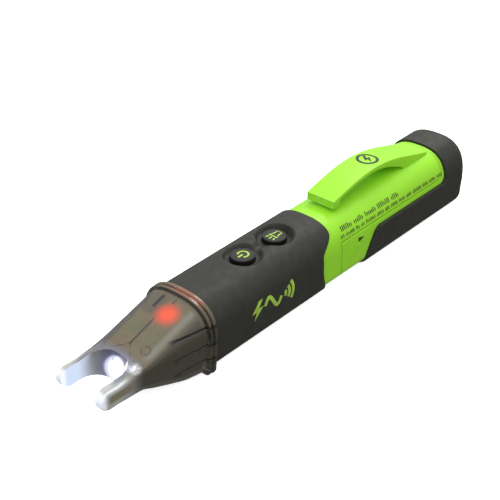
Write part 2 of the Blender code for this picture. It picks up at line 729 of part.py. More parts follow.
def make_battery_contacts():
    front = (CELL_FRONT - GAP - PLATE_THICKNESS, CELL_FRONT - GAP)
    rear = (CELL_REAR + GAP, CELL_REAR + GAP + PLATE_THICKNESS)
    tab_height = 12.4
    for name, side in (("contact_plate_left", -CELL_OFFSET), ("contact_plate_right", CELL_OFFSET)):
        outline = [(front[0], CELL_HEIGHT - 4.0), (front[1], CELL_HEIGHT - 4.0), (front[1], tab_height),
                   (TRAY_FRONT - 0.9, tab_height), (TRAY_FRONT - 0.9, tab_height - PLATE_THICKNESS),
                   (front[0], tab_height - PLATE_THICKNESS)]
        mesh = extrude_outline(outline, 2.0)
        mesh.transform(Matrix.Translation((0, side, 0)))
        plate = add_object(name, mesh, MATERIALS["tinned"])
        pad = box(front, (side - 4.0, side + 4.0), (CELL_HEIGHT - 4.0, CELL_HEIGHT + 3.0))
        combine(plate, add_object(f"{name}_pad", pad, None), "UNION")
    bridge = box(rear, (-9.2, 9.2), (CELL_HEIGHT - 4.0, CELL_HEIGHT + 1.2))
    bevel(add_object("battery_bridge", bridge, MATERIALS["tinned"]), 0.1, 1)

    for name, side, material in (("battery_lead_red", -CELL_OFFSET, "red_wire"),
                                 ("battery_lead_black", CELL_OFFSET, "black_wire")):
        start = (TRAY_FRONT - 0.9 - GAP, side, tab_height - PLATE_THICKNESS / 2)
        end = (BOARD_REAR - 2.6, side * 0.9, BOARD_TOP + 0.8)
        wire(name, ease_between(start, end), 0.5, MATERIALS[material])


def make_tray():
    """The cradle over the cells, open downwards to the door, with an end wall at each end."""
    tray = add_object("battery_tray",
                      box((TRAY_FRONT, TRAY_REAR), (-9.6, 9.6), (TRAY_BOTTOM, TRAY_TOP)),
                      MATERIALS["black_plastic"])
    inner = (TRAY_FRONT + TRAY_WALL, TRAY_REAR - TRAY_WALL)
    for name, side in (("left", -CELL_OFFSET), ("right", CELL_OFFSET)):
        channel = rod(CELL_RADIUS + GAP, (inner[0], side, CELL_HEIGHT), (inner[1], side, CELL_HEIGHT), 32)
        combine(tray, add_object(f"{name}_channel", channel, None))
        slot = box((TRAY_FRONT - 2, inner[0] + 1), (side - 1.4, side + 1.4), (11.6, 12.8))
        combine(tray, add_object(f"{name}_tab_slot", slot, None))
    below = box(inner, (-12.0, 12.0), (TRAY_BOTTOM - 2, CELL_HEIGHT))
    combine(tray, add_object("tray_opening", below, None))


# Pocket clip ------------------------------------------------------------------------------------
def arch(start, crest, end, steps=8):
    """Points of a smooth arch that rises from its start to a level crest and falls to its end."""
    points = []
    for low, high, order in ((start, crest, range(steps)), (end, crest, range(steps, -1, -1))):
        for step in order:
            share = step / steps
            rise = math.sin(share * math.pi / 2)
            points.append((low[0] + (high[0] - low[0]) * share, low[1] + (high[1] - low[1]) * rise))
    return points


def make_clip():
    roof = crown(CLIP_TIP) - PROUD
    root_roof = crown(CLIP_ROOT) - PROUD
    seat = crown(138.0) - PROUD + GAP
    top = arch((CLIP_TIP, CLIP_TIP_TOP), (CLIP_CREST, CLIP_CREST_TOP), (CLIP_ROOT, root_roof + 0.9))
    under = arch((CLIP_TIP + 2.6, roof + 0.9), (CLIP_CREST, CLIP_CREST_TOP - CLIP_CREST_THICKNESS),
                 (138.0, seat + 0.1), steps=6)
    tongue_floor = crown(CLIP_TONGUE[0]) - PROUD - 1.9
    outline = top + [(CLIP_ROOT, root_roof + GAP), (CLIP_TONGUE[1] + 0.01, root_roof + GAP)]
    outline += [(x, z) for x, z in reversed(under)]
    outline += [(CLIP_TIP + 1.9, roof + GAP), (CLIP_TIP, roof + GAP + 0.1)]
    hinge = (CLIP_HINGE, 0.0, root_roof + GAP)
    clip = add_object("pocket_clip", extrude_outline(outline, 2 * CLIP_HALF_WIDTH), MATERIALS["green"], hinge)
    bevel(clip, 0.5, 2)
    tongue = box(CLIP_TONGUE, (-2.5, 2.5), (tongue_floor, root_roof + 0.9))
    combine(clip, add_object("clip_tongue", tongue, None), "UNION")


# Assembly ---------------------------------------------------------------------------------------
def make_materials():
    return {
        "smoke": make_material("smoke", (0.16, 0.13, 0.09), 0.12, alpha=0.45),
        "rubber": make_material("rubber", (0.045, 0.045, 0.042), 0.62),
        "green": make_material("green", (0.32, 0.82, 0.04), 0.35),
        "clear_white": make_material("clear_white", (0.95, 0.97, 1.0), 0.1, alpha=0.6),
        "red_lens": make_material("red_lens", (0.9, 0.08, 0.04), 0.15),
        "board": make_material("board", (0.05, 0.28, 0.12), 0.45),
        "black_plastic": make_material("black_plastic", (0.03, 0.03, 0.03), 0.5),
        "white_plastic": make_material("white_plastic", (0.8, 0.8, 0.78), 0.45),
        "tan": make_material("tan", (0.55, 0.40, 0.22), 0.5),
        "copper": make_material("copper", (0.72, 0.42, 0.22), 0.3, metallic=1.0),
        "tinned": make_material("tinned", (0.72, 0.72, 0.70), 0.3, metallic=1.0),
        "steel": make_material("steel", (0.60, 0.60, 0.60), 0.3, metallic=1.0),
        "battery": make_material("battery", (0.12, 0.12, 0.13), 0.35),
        "red_wire": make_material("red_wire", (0.6, 0.03, 0.02), 0.5),
        "black_wire": make_material("black_wire", (0.02, 0.02, 0.02), 0.5),
    }


clear_scene()
TESTER = new_collection("voltage_tester")
CUTTERS = new_collection("cutters")
MATERIALS = make_materials()

make_nose()
make_lamps()
make_sensor_plates()
make_sleeve()
make_housing()
make_door()
make_buttons()
make_board()
make_board_components()
make_batteries()
make_battery_contacts()
make_tray()
make_clip()
for part in TESTER.objects:
    if part.type == "MESH":
        smooth(part)
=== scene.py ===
"""Looks of the two-prong non-contact voltage tester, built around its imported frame.

Shapes are worked out in millimetres as (station, side, height): the station is measured back from
the fork tips, side is +Y and height is above the plane that the tester rests on.
"""
import math
import random
from collections import namedtuple

import bmesh
import bpy
import numpy as np
from mathutils import Matrix, Vector


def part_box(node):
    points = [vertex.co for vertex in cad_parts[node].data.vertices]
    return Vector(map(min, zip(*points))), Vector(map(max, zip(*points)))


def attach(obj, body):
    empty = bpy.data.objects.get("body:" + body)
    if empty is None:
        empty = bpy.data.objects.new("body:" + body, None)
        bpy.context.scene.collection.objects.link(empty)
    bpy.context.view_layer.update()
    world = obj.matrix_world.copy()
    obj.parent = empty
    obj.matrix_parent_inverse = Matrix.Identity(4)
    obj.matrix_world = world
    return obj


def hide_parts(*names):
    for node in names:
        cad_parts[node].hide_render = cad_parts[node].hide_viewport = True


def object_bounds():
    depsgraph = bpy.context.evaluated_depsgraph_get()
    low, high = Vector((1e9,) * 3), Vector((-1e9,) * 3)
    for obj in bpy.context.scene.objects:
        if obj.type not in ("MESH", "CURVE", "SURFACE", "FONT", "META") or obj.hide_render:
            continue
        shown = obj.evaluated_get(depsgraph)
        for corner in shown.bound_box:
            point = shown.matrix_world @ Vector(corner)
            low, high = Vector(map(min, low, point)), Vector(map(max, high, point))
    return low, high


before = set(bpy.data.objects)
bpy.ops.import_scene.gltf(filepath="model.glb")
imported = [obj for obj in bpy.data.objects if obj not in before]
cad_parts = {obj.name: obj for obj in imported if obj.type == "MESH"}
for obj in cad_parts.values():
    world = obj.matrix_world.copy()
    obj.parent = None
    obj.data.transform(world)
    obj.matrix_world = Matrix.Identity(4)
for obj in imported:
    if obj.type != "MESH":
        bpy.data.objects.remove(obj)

CAD_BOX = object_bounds()
MM = 0.001
TIP_X = CAD_BOX[0].x


# Places read from the frame ---------------------------------------------------------------------
def span(node):
    """The lowest and highest corner of a CAD node as (station, side, height) in millimetres."""
    low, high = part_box(node)
    shift = Vector((TIP_X, 0.0, 0.0))
    return (low - shift) / MM, (high - shift) / MM


def middle(node):
    low, high = span(node)
    return (low + high) / 2


NOSE_HIGH = span("nose_cone")[1]
SLEEVE_LOW, SLEEVE_HIGH = span("grip_sleeve")
HOUSING_LOW = span("main_housing")[0]
SKIN_HIGH = span("door_overmold")[1]
CLIP_LOW, CLIP_HIGH = span("pocket_clip")
BOARD_LOW, BOARD_HIGH = span("circuit_board")
FLASH_LOW, FLASH_HIGH = span("flashlight_led")
LAMP_LOW, LAMP_HIGH = span("indicator_led")
BUTTONS = {name: middle(f"{name}_button_cap").x for name in ("power", "light")}

# The body's section: straight sides up to the shoulder, then a superellipse crown
GAP = 0.3                          # clearance between pieces that meet
THROUGH = 40.0                     # longer than any cut needs to be
SHOULDER = 9.6
CROWN_POWER = 2.74
CROWN_SLOPE = 0.0195
PROUD = 0.7                        # rubber stands this much above the green plastic
CROWN_AT_SLEEVE = SLEEVE_HIGH.z    # crown height at the sleeve's rear edge
LEAN_HEIGHT = 17.0                 # below this the flange and the sleeve's front edge lean forward

FLANGE_REAR = SLEEVE_LOW.x + 1.28 - GAP
FLANGE_FRONT = FLANGE_REAR - 2.9
FLANGE_LEAN = 0.08
SLEEVE_FRONT = FLANGE_REAR + GAP
SLEEVE_REAR = SLEEVE_HIGH.x
SLEEVE_HALF_WIDTH = SLEEVE_HIGH.y
SLEEVE_BOTTOM = SLEEVE_LOW.z
SLEEVE_WALL = 1.15
SLEEVE_FLOOR = 0.9
SLEEVE_ROOF = 2.6
GREEN_HALF_WIDTH = SLEEVE_HALF_WIDTH - PROUD
GREEN_BOTTOM = HOUSING_LOW.z
HOUSING_WALL = 1.1
SEAM_HEIGHT = 14.3
SEAM_CORNER = 2.5
HOUSING_REAR = 150.9
DOOR_FRONT = 96.0
CAP_EDGE = 152.3
SKIN_TOP_EDGE = 12.5
TAIL_ROUND = 3.4
TAIL_END = SKIN_HIGH.x
DOOR_END = TAIL_END - 1.6
SKIN_BED = 0.35                    # depth of the bed that the rubber skin sits in
BAY_HALF_WIDTH = 10.45
BAY_FLOOR = 2.6
BAY_ROOF_WALL = 1.4

TINE_MIDDLE = 9.8
TINE_HALF_HEIGHT = 3.1
TINE_OUTER = 9.2
TINE_INNER = 6.35
TINE_WALL = 0.75
NOSE_WALL = 1.1
NOTCH_BASE = 13.2
NOTCH_CORNER = 4.8
NOTCH_TILT = math.radians(20)
NOSE_SHELL_REAR = 36.2
SPIGOT_REAR = NOSE_HIGH.x

DISH_RADIUS = 5.9
DISH_FLOOR = 19.6
CAP_RADIUS = 3.65
CAP_TOP = span("power_button_cap")[1].z

LAMP_RADIUS = 2.5
LAMP_DOME = ((LAMP_LOW.x + LAMP_HIGH.x) / 2, 0.0, LAMP_HIGH.z - LAMP_RADIUS)
LAMP_TOP = (LAMP_DOME[0], 0.0, LAMP_HIGH.z)
FLASH_DOME = (FLASH_LOW.x, 0.0, (FLASH_LOW.z + FLASH_HIGH.z) / 2)
RIB_HEIGHTS = (15.3, 10.2, 5.6)     # moulded lines round the nose, inside and outside

Section = namedtuple("Section", "x half_width bottom top corner power shoulder draft lean")


def crown(x):
    """Height of the rubber's crown at a station."""
    return CROWN_AT_SLEEVE + CROWN_SLOPE * (x - SLEEVE_REAR)


def section(x, half_width, bottom, top, corner, power=CROWN_POWER, shoulder=SHOULDER, draft=0.0, lean=0.0):
    return Section(x, half_width, bottom, top, corner, power, shoulder, draft, lean)


def inset(place, wall, floor=None, roof=None):
    """The same section with its walls moved inwards."""
    floor = wall if floor is None else floor
    roof = wall if roof is None else roof
    return place._replace(half_width=place.half_width - wall, bottom=place.bottom + floor,
                          top=place.top - roof, corner=max(place.corner - wall, 0.4))


# Mesh tools -------------------------------------------------------------------------------------
def section_ring(place, count, focus=()):
    """Points evenly spaced round a section, closer together where its sides pass the focus heights."""
    angle = np.linspace(0.0, math.pi, 361)
    side, rise = np.cos(angle), np.sin(angle).clip(0.0)
    y = place.half_width * np.sign(side) * np.abs(side) ** (2 / place.power)
    z = place.shoulder + (place.top - place.shoulder) * rise ** (2 / place.power)
    parts = [np.stack([y, z], 1)]
    for sign, start in ((-1, math.pi), (1, 1.5 * math.pi)):
        angle = np.linspace(start, start + math.pi / 2, 24)
        y = sign * (place.half_width - place.draft - place.corner) + place.corner * np.cos(angle)
        z = place.bottom + place.corner + place.corner * np.sin(angle)
        parts.append(np.stack([y, z], 1))
    line = np.concatenate(parts + [parts[0][:1]])
    steps = []
    for first, second in zip(line, line[1:]):
        length = math.dist(first, second)
        pieces = max(1, int(length / 0.1))
        steps.append(first + (second - first) * (np.arange(pieces) / pieces)[:, None])
    dense = np.concatenate(steps + [line[:1]])
    weight = np.ones(len(dense) - 1)
    heights = (dense[1:, 1] + dense[:-1, 1]) / 2
    strokes = np.diff(dense, axis=0)
    steepness = np.abs(strokes[:, 1]) / np.linalg.norm(strokes, axis=1)
    for height, reach, strength in focus:
        weight += strength * np.exp(-((heights - height) / reach) ** 2) * steepness ** 4
    lengths = np.linalg.norm(np.diff(dense, axis=0), axis=1) * weight
    travelled = np.concatenate([[0.0], np.cumsum(lengths)])
    wanted = np.linspace(0.0, travelled[-1], count, endpoint=False)
    return np.stack([np.interp(wanted, travelled, dense[:, 0]), np.interp(wanted, travelled, dense[:, 1])], 1)


def loft_points(places, count, sink=None, focus=(), sweep=None):
    """Rings of points through the sections, swept along X and pushed inwards by sink(x, y, z)."""
    rings = []
    for place in places:
        ring = section_ring(place, count, focus)
        x = place.x + place.lean * np.minimum(0.0, ring[:, 1] - LEAN_HEIGHT)
        if sweep is not None:
            x = x + sweep(x, ring[:, 1])
        if sink is not None:
            along = np.roll(ring, -1, axis=0) - np.roll(ring, 1, axis=0)
            along /= np.linalg.norm(along, axis=1)[:, None]
            inwards = np.stack([-along[:, 1], along[:, 0]], 1)
            ring = ring + inwards * sink(x, ring[:, 0], ring[:, 1])[:, None]
        rings.append(np.column_stack([x, ring]))
    return np.array(rings)


def skin_rings(rings):
    """A closed mesh over rings of points, with a fan at each end."""
    rows, count = rings.shape[:2]
    corners = np.concatenate([rings.reshape(-1, 3), rings[0].mean(0)[None], rings[-1].mean(0)[None]])
    row, step = np.meshgrid(np.arange(rows - 1), np.arange(count), indexing="ij")
    here, after = row * count + step, row * count + (step + 1) % count
    quads = np.stack([here, after, after + count, here + count], -1).reshape(-1, 4)
    steps = np.arange(count)
    ahead = (steps + 1) % count
    first = np.stack([ahead, steps, np.full(count, rows * count)], 1)
    end = (rows - 1) * count
    last = np.stack([steps + end, ahead + end, np.full(count, rows * count + 1)], 1)
    mesh = bpy.data.meshes.new("skin")
    mesh.from_pydata(corners.tolist(), [], quads.tolist() + first.tolist() + last.tolist())
    return outward(mesh)


def outward(mesh):
    """Turn a closed mesh's faces outwards."""
    shape = bmesh.new()
    shape.from_mesh(mesh)
    bmesh.ops.recalc_face_normals(shape, faces=shape.faces)
    shape.to_mesh(mesh)
    shape.free()
    return mesh


def loft(places, count=120, sink=None, focus=(), sweep=None):
    return skin_rings(loft_points(places, count, sink, focus, sweep))


def steps_between(start, end, step):
    return np.linspace(start, end, max(2, round((end - start) / step) + 1))


def round_corners(corners, steps=8):
    """Outline points from (x, y, radius) corners, each corner with a radius drawn as an arc."""
    points = []
    for index, (x, y, radius) in enumerate(corners):
        here = Vector((x, y))
        if radius == 0:
            points.append(here)
            continue
        before = (Vector(corners[index - 1][:2]) - here).normalized()
        after = (Vector(corners[(index + 1) % len(corners)][:2]) - here).normalized()
        half = before.angle(after) / 2
        centre = here + (before + after).normalized() * (radius / math.sin(half))
        start = here + before * (radius / math.tan(half)) - centre
        end = here + after * (radius / math.tan(half)) - centre
        turn = start.angle_signed(end)
        for step in range(steps + 1):
            points.append(centre + Matrix.Rotation(-turn * step / steps, 2) @ start)
    return points


PLANES = {"PLAN": Matrix.Identity(4), "SIDE": Matrix.Rotation(math.pi / 2, 4, "X")}
CUT, ADD, KEEP = "DIFFERENCE", "UNION", "INTERSECT"     # the Boolean steps that bridge takes


def show(name, data):
    """A new object in the scene."""
    thing = bpy.data.objects.new(name, data)
    bpy.context.scene.collection.objects.link(thing)
    return thing


def mesh_of(shape, name):
    """A new mesh from a bmesh, which is freed."""
    mesh = bpy.data.meshes.new(name)
    shape.to_mesh(mesh)
    shape.free()
    return mesh


def plate(points, thickness, plane="PLAN", rounding=0.0, offset=(0, 0, 0)):
    """A flat plate from a closed outline, centred on its plane, with rounded rims if asked."""
    curve = bpy.data.curves.new("outline", "CURVE")
    curve.dimensions = "2D"
    curve.fill_mode = "BOTH"
    curve.extrude = thickness / 2 - rounding
    curve.bevel_depth = rounding
    curve.bevel_resolution = 3
    curve.offset = -rounding
    spline = curve.splines.new("POLY")
    spline.points.add(len(points) - 1)
    for target, point in zip(spline.points, points):
        target.co = (point[0], point[1], 0.0, 1.0)
    spline.use_cyclic_u = True
    guide = show("guide", curve)
    mesh = bpy.data.meshes.new_from_object(guide.evaluated_get(bpy.context.evaluated_depsgraph_get()))
    bpy.data.objects.remove(guide, do_unlink=True)
    bpy.data.curves.remove(curve)
    shape = bmesh.new()
    shape.from_mesh(mesh)
    bmesh.ops.remove_doubles(shape, verts=shape.verts, dist=0.001)
    bmesh.ops.transform(shape, matrix=Matrix.Translation(offset) @ PLANES[plane], verts=shape.verts)
    bmesh.ops.recalc_face_normals(shape, faces=shape.faces)
    shape.to_mesh(mesh)
    shape.free()
    return mesh


def block(x, y, z):
    """A box from its (low, high) ranges."""
    shape = bmesh.new()
    bmesh.ops.create_cube(shape, size=1.0)
    bmesh.ops.scale(shape, vec=(x[1] - x[0], y[1] - y[0], z[1] - z[0]), verts=shape.verts)
    centre = ((x[0] + x[1]) / 2, (y[0] + y[1]) / 2, (z[0] + z[1]) / 2)
    bmesh.ops.translate(shape, vec=centre, verts=shape.verts)
    return mesh_of(shape, "block")


def turned(profile, place, axis="Z", sides=64):
    """A turned body from (radius, distance) points, first and last on the axis."""
    shape = bmesh.new()
    verts = [shape.verts.new((radius, 0.0, along)) for radius, along in profile]
    edges = [shape.edges.new(pair) for pair in zip(verts, verts[1:])]
    bmesh.ops.spin(shape, geom=verts + edges, cent=(0, 0, 0), axis=(0, 0, 1), angle=2 * math.pi,
                   steps=sides)
    bmesh.ops.remove_doubles(shape, verts=shape.verts, dist=0.0001)
    turn = {"Z": Matrix.Identity(4), "-X": Matrix.Rotation(-math.pi / 2, 4, "Y")}[axis]
    bmesh.ops.transform(shape, matrix=Matrix.Translation(place) @ turn, verts=shape.verts)
    bmesh.ops.recalc_face_normals(shape, faces=shape.faces)
    return mesh_of(shape, "turned")


def rod(radius, start, end, sides=48):
    """A plain round rod between two points."""
    start, end = Vector(start), Vector(end)
    shape = bmesh.new()
    bmesh.ops.create_cone(shape, cap_ends=True, segments=sides, radius1=radius, radius2=radius,
                          depth=(end - start).length)
    turn = Vector((0, 0, 1)).rotation_difference(end - start).to_matrix().to_4x4()
    bmesh.ops.transform(shape, matrix=Matrix.Translation((start + end) / 2) @ turn, verts=shape.verts)
    return mesh_of(shape, "rod")


def joined(meshes):
    """Several meshes as one mesh of separate shells."""
    shape = bmesh.new()
    for mesh in meshes:
        shape.from_mesh(mesh)
    return mesh_of(shape, "joined")


def bridge(mesh, *tools):
    """Apply Boolean (operation, mesh) steps to a mesh and return the new mesh."""
    target = show("target", mesh)
    helpers = []
    for operation, tool in tools:
        helper = show("tool", tool)
        modifier = target.modifiers.new("step", "BOOLEAN")
        modifier.operation = operation
        modifier.object = helper
        modifier.solver = "EXACT"
        helpers.append(helper)
    result = bpy.data.meshes.new_from_object(target.evaluated_get(bpy.context.evaluated_depsgraph_get()))
    for thing in helpers + [target]:
        bpy.data.objects.remove(thing, do_unlink=True)
    return result


def piece(name, mesh, material, body, replaces=(), sharp=35.0):
    """Show a millimetre mesh as a piece that rides on a body."""
    mesh.transform(Matrix.Translation((TIP_X, 0, 0)) @ Matrix.Diagonal((MM, MM, MM, 1.0)))
    mesh.shade_smooth()
    mesh.set_sharp_from_angle(angle=math.radians(sharp))
    mesh.materials.clear()
    mesh.materials.append(material)
    thing = show(name, mesh)
    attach(thing, body)
    if replaces:
        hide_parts(*replaces)
    return thing


# Materials --------------------------------------------------------------------------------------
RAMP_INPUTS = ("From Min", "From Max", "To Min", "To Max")


class Paint:
    """A Principled material with small helpers for its procedural nodes."""

    def __init__(self, name, colour, roughness, metallic=0.0):
        self.material = bpy.data.materials.new(name)
        self.material.use_nodes = True
        self.nodes = self.material.node_tree.nodes
        self.links = self.material.node_tree.links
        self.shader = self.nodes["Principled BSDF"]
        self.shader.inputs["Metallic"].default_value = metallic
        self.shader.inputs["Base Color"].default_value = (*colour, 1.0)
        self.shader.inputs["Roughness"].default_value = roughness
        self.colour = colour
        self.roughness = roughness
        self.place = self.nodes.new("ShaderNodeTexCoord").outputs["Object"]

    def set(self, **values):
        for name, value in values.items():
            self.shader.inputs[name.replace("_", " ")].default_value = value
        return self

    def link(self, source, target):
        if isinstance(source, (int, float)):
            target.default_value = source
        else:
            self.links.new(source, target)

    def noise(self, size, detail=3.0, stretch=(1, 1, 1)):
        """Noise whose grains are about size millimetres across."""
        mapping = self.nodes.new("ShaderNodeMapping")
        mapping.inputs["Scale"].default_value = stretch
        self.links.new(self.place, mapping.inputs["Vector"])
        node = self.nodes.new("ShaderNodeTexNoise")
        node.inputs["Scale"].default_value = 1 / (size * MM)
        node.inputs["Detail"].default_value = detail
        self.links.new(mapping.outputs["Vector"], node.inputs["Vector"])
        return node.outputs["Fac"]

    def ramp(self, source, low, high, out_low=0.0, out_high=1.0):
        """Map a value from one range to another, held at both ends."""
        node = self.nodes.new("ShaderNodeMapRange")
        node.interpolation_type = "SMOOTHSTEP"
        self.links.new(source, node.inputs["Value"])
        for name, value in zip(RAMP_INPUTS, (low, high, out_low, out_high)):
            node.inputs[name].default_value = value
        return node.outputs["Result"]

    def math(self, operation, first, second=0.0):
        node = self.nodes.new("ShaderNodeMath")
        node.operation = operation
        self.link(first, node.inputs[0])
        self.link(second, node.inputs[1])
        return node.outputs["Value"]

    def mix(self, share, first, second):
        """Blend two colours, each a colour tuple or a socket."""
        node = self.nodes.new("ShaderNodeMix")
        node.data_type = "RGBA"
        self.link(share, node.inputs[0])
        for value, target in ((first, node.inputs[6]), (second, node.inputs[7])):
            if isinstance(value, tuple):
                target.default_value = (*value, 1.0)
            else:
                self.links.new(value, target)
        return node.outputs[2]

    def axis(self, name):
        """A coordinate in millimetres: X is the station, Y the side and Z the height."""
        split = self.nodes.new("ShaderNodeSeparateXYZ")
        self.links.new(self.place, split.inputs["Vector"])
        shifted = self.math("SUBTRACT", split.outputs[name], TIP_X if name == "X" else 0.0)
        return self.math("MULTIPLY", shifted, 1 / MM)

    def distance(self, x, y, z):
        """Distance in millimetres from a point given as station, side and height."""
        node = self.nodes.new("ShaderNodeVectorMath")
        node.operation = "DISTANCE"
        self.links.new(self.place, node.inputs[0])
        node.inputs[1].default_value = (TIP_X + x * MM, y * MM, z * MM)
        return self.math("MULTIPLY", node.outputs["Value"], 1 / MM)

    def worn_edges(self, amount):
        """1 on convex edges, broken up by noise."""
        geometry = self.nodes.new("ShaderNodeNewGeometry")
        sharp = self.ramp(geometry.outputs["Pointiness"], 0.52, 0.60)
        broken = self.ramp(self.noise(1.3, 5.0), 0.40, 0.66)
        return self.math("MULTIPLY", self.math("MULTIPLY", sharp, broken), amount)

    def vary(self, patch=9.0, depth=0.12, grain=0.35, rough=0.08, wear=0.0, wear_colour=None):
        """Colour patches, uneven roughness and optional pale wear along edges."""
        dark = tuple(c * (1 - depth) for c in self.colour)
        light = tuple(min(c * (1 + depth), 1.0) for c in self.colour)
        share = self.ramp(self.noise(patch, 4.0), 0.3, 0.7)
        colour = self.mix(share, dark, light)
        if wear:
            pale = wear_colour or tuple(min(c * 1.6 + 0.05, 1.0) for c in self.colour)
            colour = self.mix(self.worn_edges(wear), colour, pale)
        self.links.new(colour, self.shader.inputs["Base Color"])
        smoothest, roughest = self.roughness - rough, self.roughness + rough
        rougher = self.ramp(self.noise(grain * 6, 4.0), 0.3, 0.7, smoothest, roughest)
        self.links.new(rougher, self.shader.inputs["Roughness"])
        return self

    def overlay(self, share, colour):
        """Paint a colour over the present base colour where share is 1."""
        socket = self.shader.inputs["Base Color"]
        self.links.new(self.mix(share, socket.links[0].from_socket, colour), socket)
        return self

    def glow(self, *spots):
        """Emission that is the sum of (share, colour) spots."""
        total = (0.0, 0.0, 0.0)
        for share, colour in spots:
            total = self.mix(share, total, colour)
        self.links.new(total, self.shader.inputs["Emission Color"])
        return self.set(Emission_Strength=1.0)

    def bump(self, height, depth, strength=1.0):
        """Bump of a given depth in millimetres from a 0..1 height."""
        node = self.nodes.new("ShaderNodeBump")
        node.inputs["Strength"].default_value = strength
        node.inputs["Distance"].default_value = depth * MM
        self.links.new(height, node.inputs["Height"])
        self.links.new(node.outputs["Normal"], self.shader.inputs["Normal"])
        return self

    def grained(self, size, detail, depth, strength):
        """Finish with a bump of fine grain and return the material."""
        return self.bump(self.noise(size, detail), depth, strength).material


def green_plastic():
    paint = Paint("lime_plastic", (0.315, 0.72, 0.026), 0.40)
    paint.set(Specular_IOR_Level=0.25)
    paint.vary(patch=14.0, depth=0.03, grain=0.5, rough=0.05, wear=0.25, wear_colour=(0.48, 0.82, 0.20))
    return paint.grained(0.22, 2.0, 0.010, 0.5)


def rubber():
    paint = Paint("grip_rubber", (0.033, 0.034, 0.027), 0.50)
    paint.set(Specular_IOR_Level=0.17)
    paint.vary(patch=2.2, depth=0.10, grain=0.4, rough=0.05, wear=0.3, wear_colour=(0.065, 0.065, 0.058))
    return paint.grained(0.28, 3.0, 0.02, 0.5)


def button_rubber():
    """Button rubber, with painted shade that darkens its side walls down in the hole."""
    paint = Paint("button_rubber", (0.024, 0.024, 0.021), 0.5)
    paint.set(Specular_IOR_Level=0.22)
    paint.vary(patch=3.0, depth=0.08, grain=0.3, rough=0.05, wear=0.3, wear_colour=(0.07, 0.07, 0.065))
    # painted shade: the cap's side wall goes darker just below its top
    wall = paint.ramp(paint.axis("Z"), CAP_TOP - 0.45, CAP_TOP - 0.20, 0.85, 0.0)
    paint.overlay(wall, (0.003, 0.003, 0.003))
    return paint.grained(0.22, 3.0, 0.015, 0.5)


def lime_print():
    paint = Paint("lime_print", (0.36, 0.56, 0.06), 0.5)
    paint.vary(patch=2.5, depth=0.12, grain=0.2, rough=0.06)
    return paint.grained(0.2, 2.0, 0.01, 0.4)


def dark_print():
    paint = Paint("dark_print", (0.014, 0.032, 0.005), 0.6)
    paint.vary(patch=1.5, depth=0.25, grain=0.2, rough=0.05)
    return paint.grained(0.15, 2.0, 0.005, 0.4)


# painted shade: the colour that the nose's sides and far side are darkened to
SMOKE_SIDE_SHADE = (0.068, 0.060, 0.040)
PAINTED_SHADOW = (0.006, 0.004, 0.002)       # colour of the painted shadow: the dark lines of shade seen in the nose


class Smoke(Paint):
    """Smoked plastic, with helpers for marks placed by station, side and height in millimetres."""

    def __init__(self):
        super().__init__("smoky_plastic", (0.17, 0.14, 0.07), 0.15)
        self.set(Alpha=0.86, IOR=1.50, Coat_Weight=0.2, Coat_Roughness=0.05)
        self.vary(patch=6.0, depth=0.10, grain=0.6, rough=0.03)
        self.station, self.across, self.height = (self.axis(name) for name in "XYZ")
        self.side = self.math("ABSOLUTE", self.across)
        facing = self.nodes.new("ShaderNodeSeparateXYZ")
        geometry = self.nodes.new("ShaderNodeNewGeometry")
        self.links.new(geometry.outputs["Normal"], facing.inputs["Vector"])
        self.upward = facing.outputs["Z"]
        self.broken = self.ramp(self.noise(2.6, 4.0), 0.35, 0.62, 0.15, 1.0)

    def fade(self, value, full, gone, strength=1.0):
        """The strength up to one value, then less, and nothing past another value."""
        return self.ramp(value, full, gone, strength, 0.0)

    def line(self, value, place, half_width, soft=0.25):
        offset = self.math("ABSOLUTE", self.math("SUBTRACT", value, place))
        return self.fade(offset, half_width, half_width + soft)

    def within(self, value, low, high, soft=0.5):
        return self.line(value, (low + high) / 2, (high - low) / 2 - soft / 2, soft)

    def near(self, point, full, gone):
        return self.fade(self.distance(*point), full, gone)

    def all_of(self, *shares):
        total = shares[0]
        for share in shares[1:]:
            total = self.math("MULTIPLY", total, share)
        return total

    def mark(self, colour, *shares):
        """Paint a colour as far as all the shares allow."""
        return self.overlay(self.all_of(*shares), colour)


def tint_nose(paint):
    """Olive with two green patches where the board shows, a painted highlight along the near ridge, painted
    shade on the far side and painted shadows of two inner ribs near the flange.
    """
    station, across = paint.station, paint.across
    board = paint.math("MAXIMUM", paint.near((23.5, 3.4, 16.6), 0.5, 5.0),
                       paint.near((23.0, -4.2, 16.5), 0.5, 4.5))
    green = paint.all_of(board, paint.broken)
    paint.overlay(1.0, paint.mix(green, (0.155, 0.120, 0.066), (0.125, 0.145, 0.050)))
    paint.mark((0.090, 0.075, 0.045), paint.broken, paint.ramp(paint.upward, 0.85, 0.93), 0.35)
    # painted highlight: a pale band along the near shoulder
    paint.mark((0.20, 0.19, 0.15), paint.line(across, -7.5, 0.1, 1.3), paint.within(station, 17.0, 37.0, 3.0))
    # painted shade: darker on the far side in front of the flange
    paint.mark(SMOKE_SIDE_SHADE, paint.within(station, 28.4, 35.4, 1.0), paint.ramp(across, -0.2, 1.2, 0.0, 0.55))
    # painted shadows: dark lines of inner ribs on the top near the flange
    paint.mark(PAINTED_SHADOW, paint.line(across, 3.1, 0.30, 0.5), paint.within(station, 30.5, 36.8))
    paint.mark(PAINTED_SHADOW, paint.line(across, -1.2, 0.15, 0.4), paint.within(station, 33.6, 36.8), 0.8)
    # painted shade: darker along the far side back from the tines
    paint.mark((0.040, 0.033, 0.020), paint.ramp(across, 5.7, 6.9), paint.ramp(station, 6.0, 13.0))


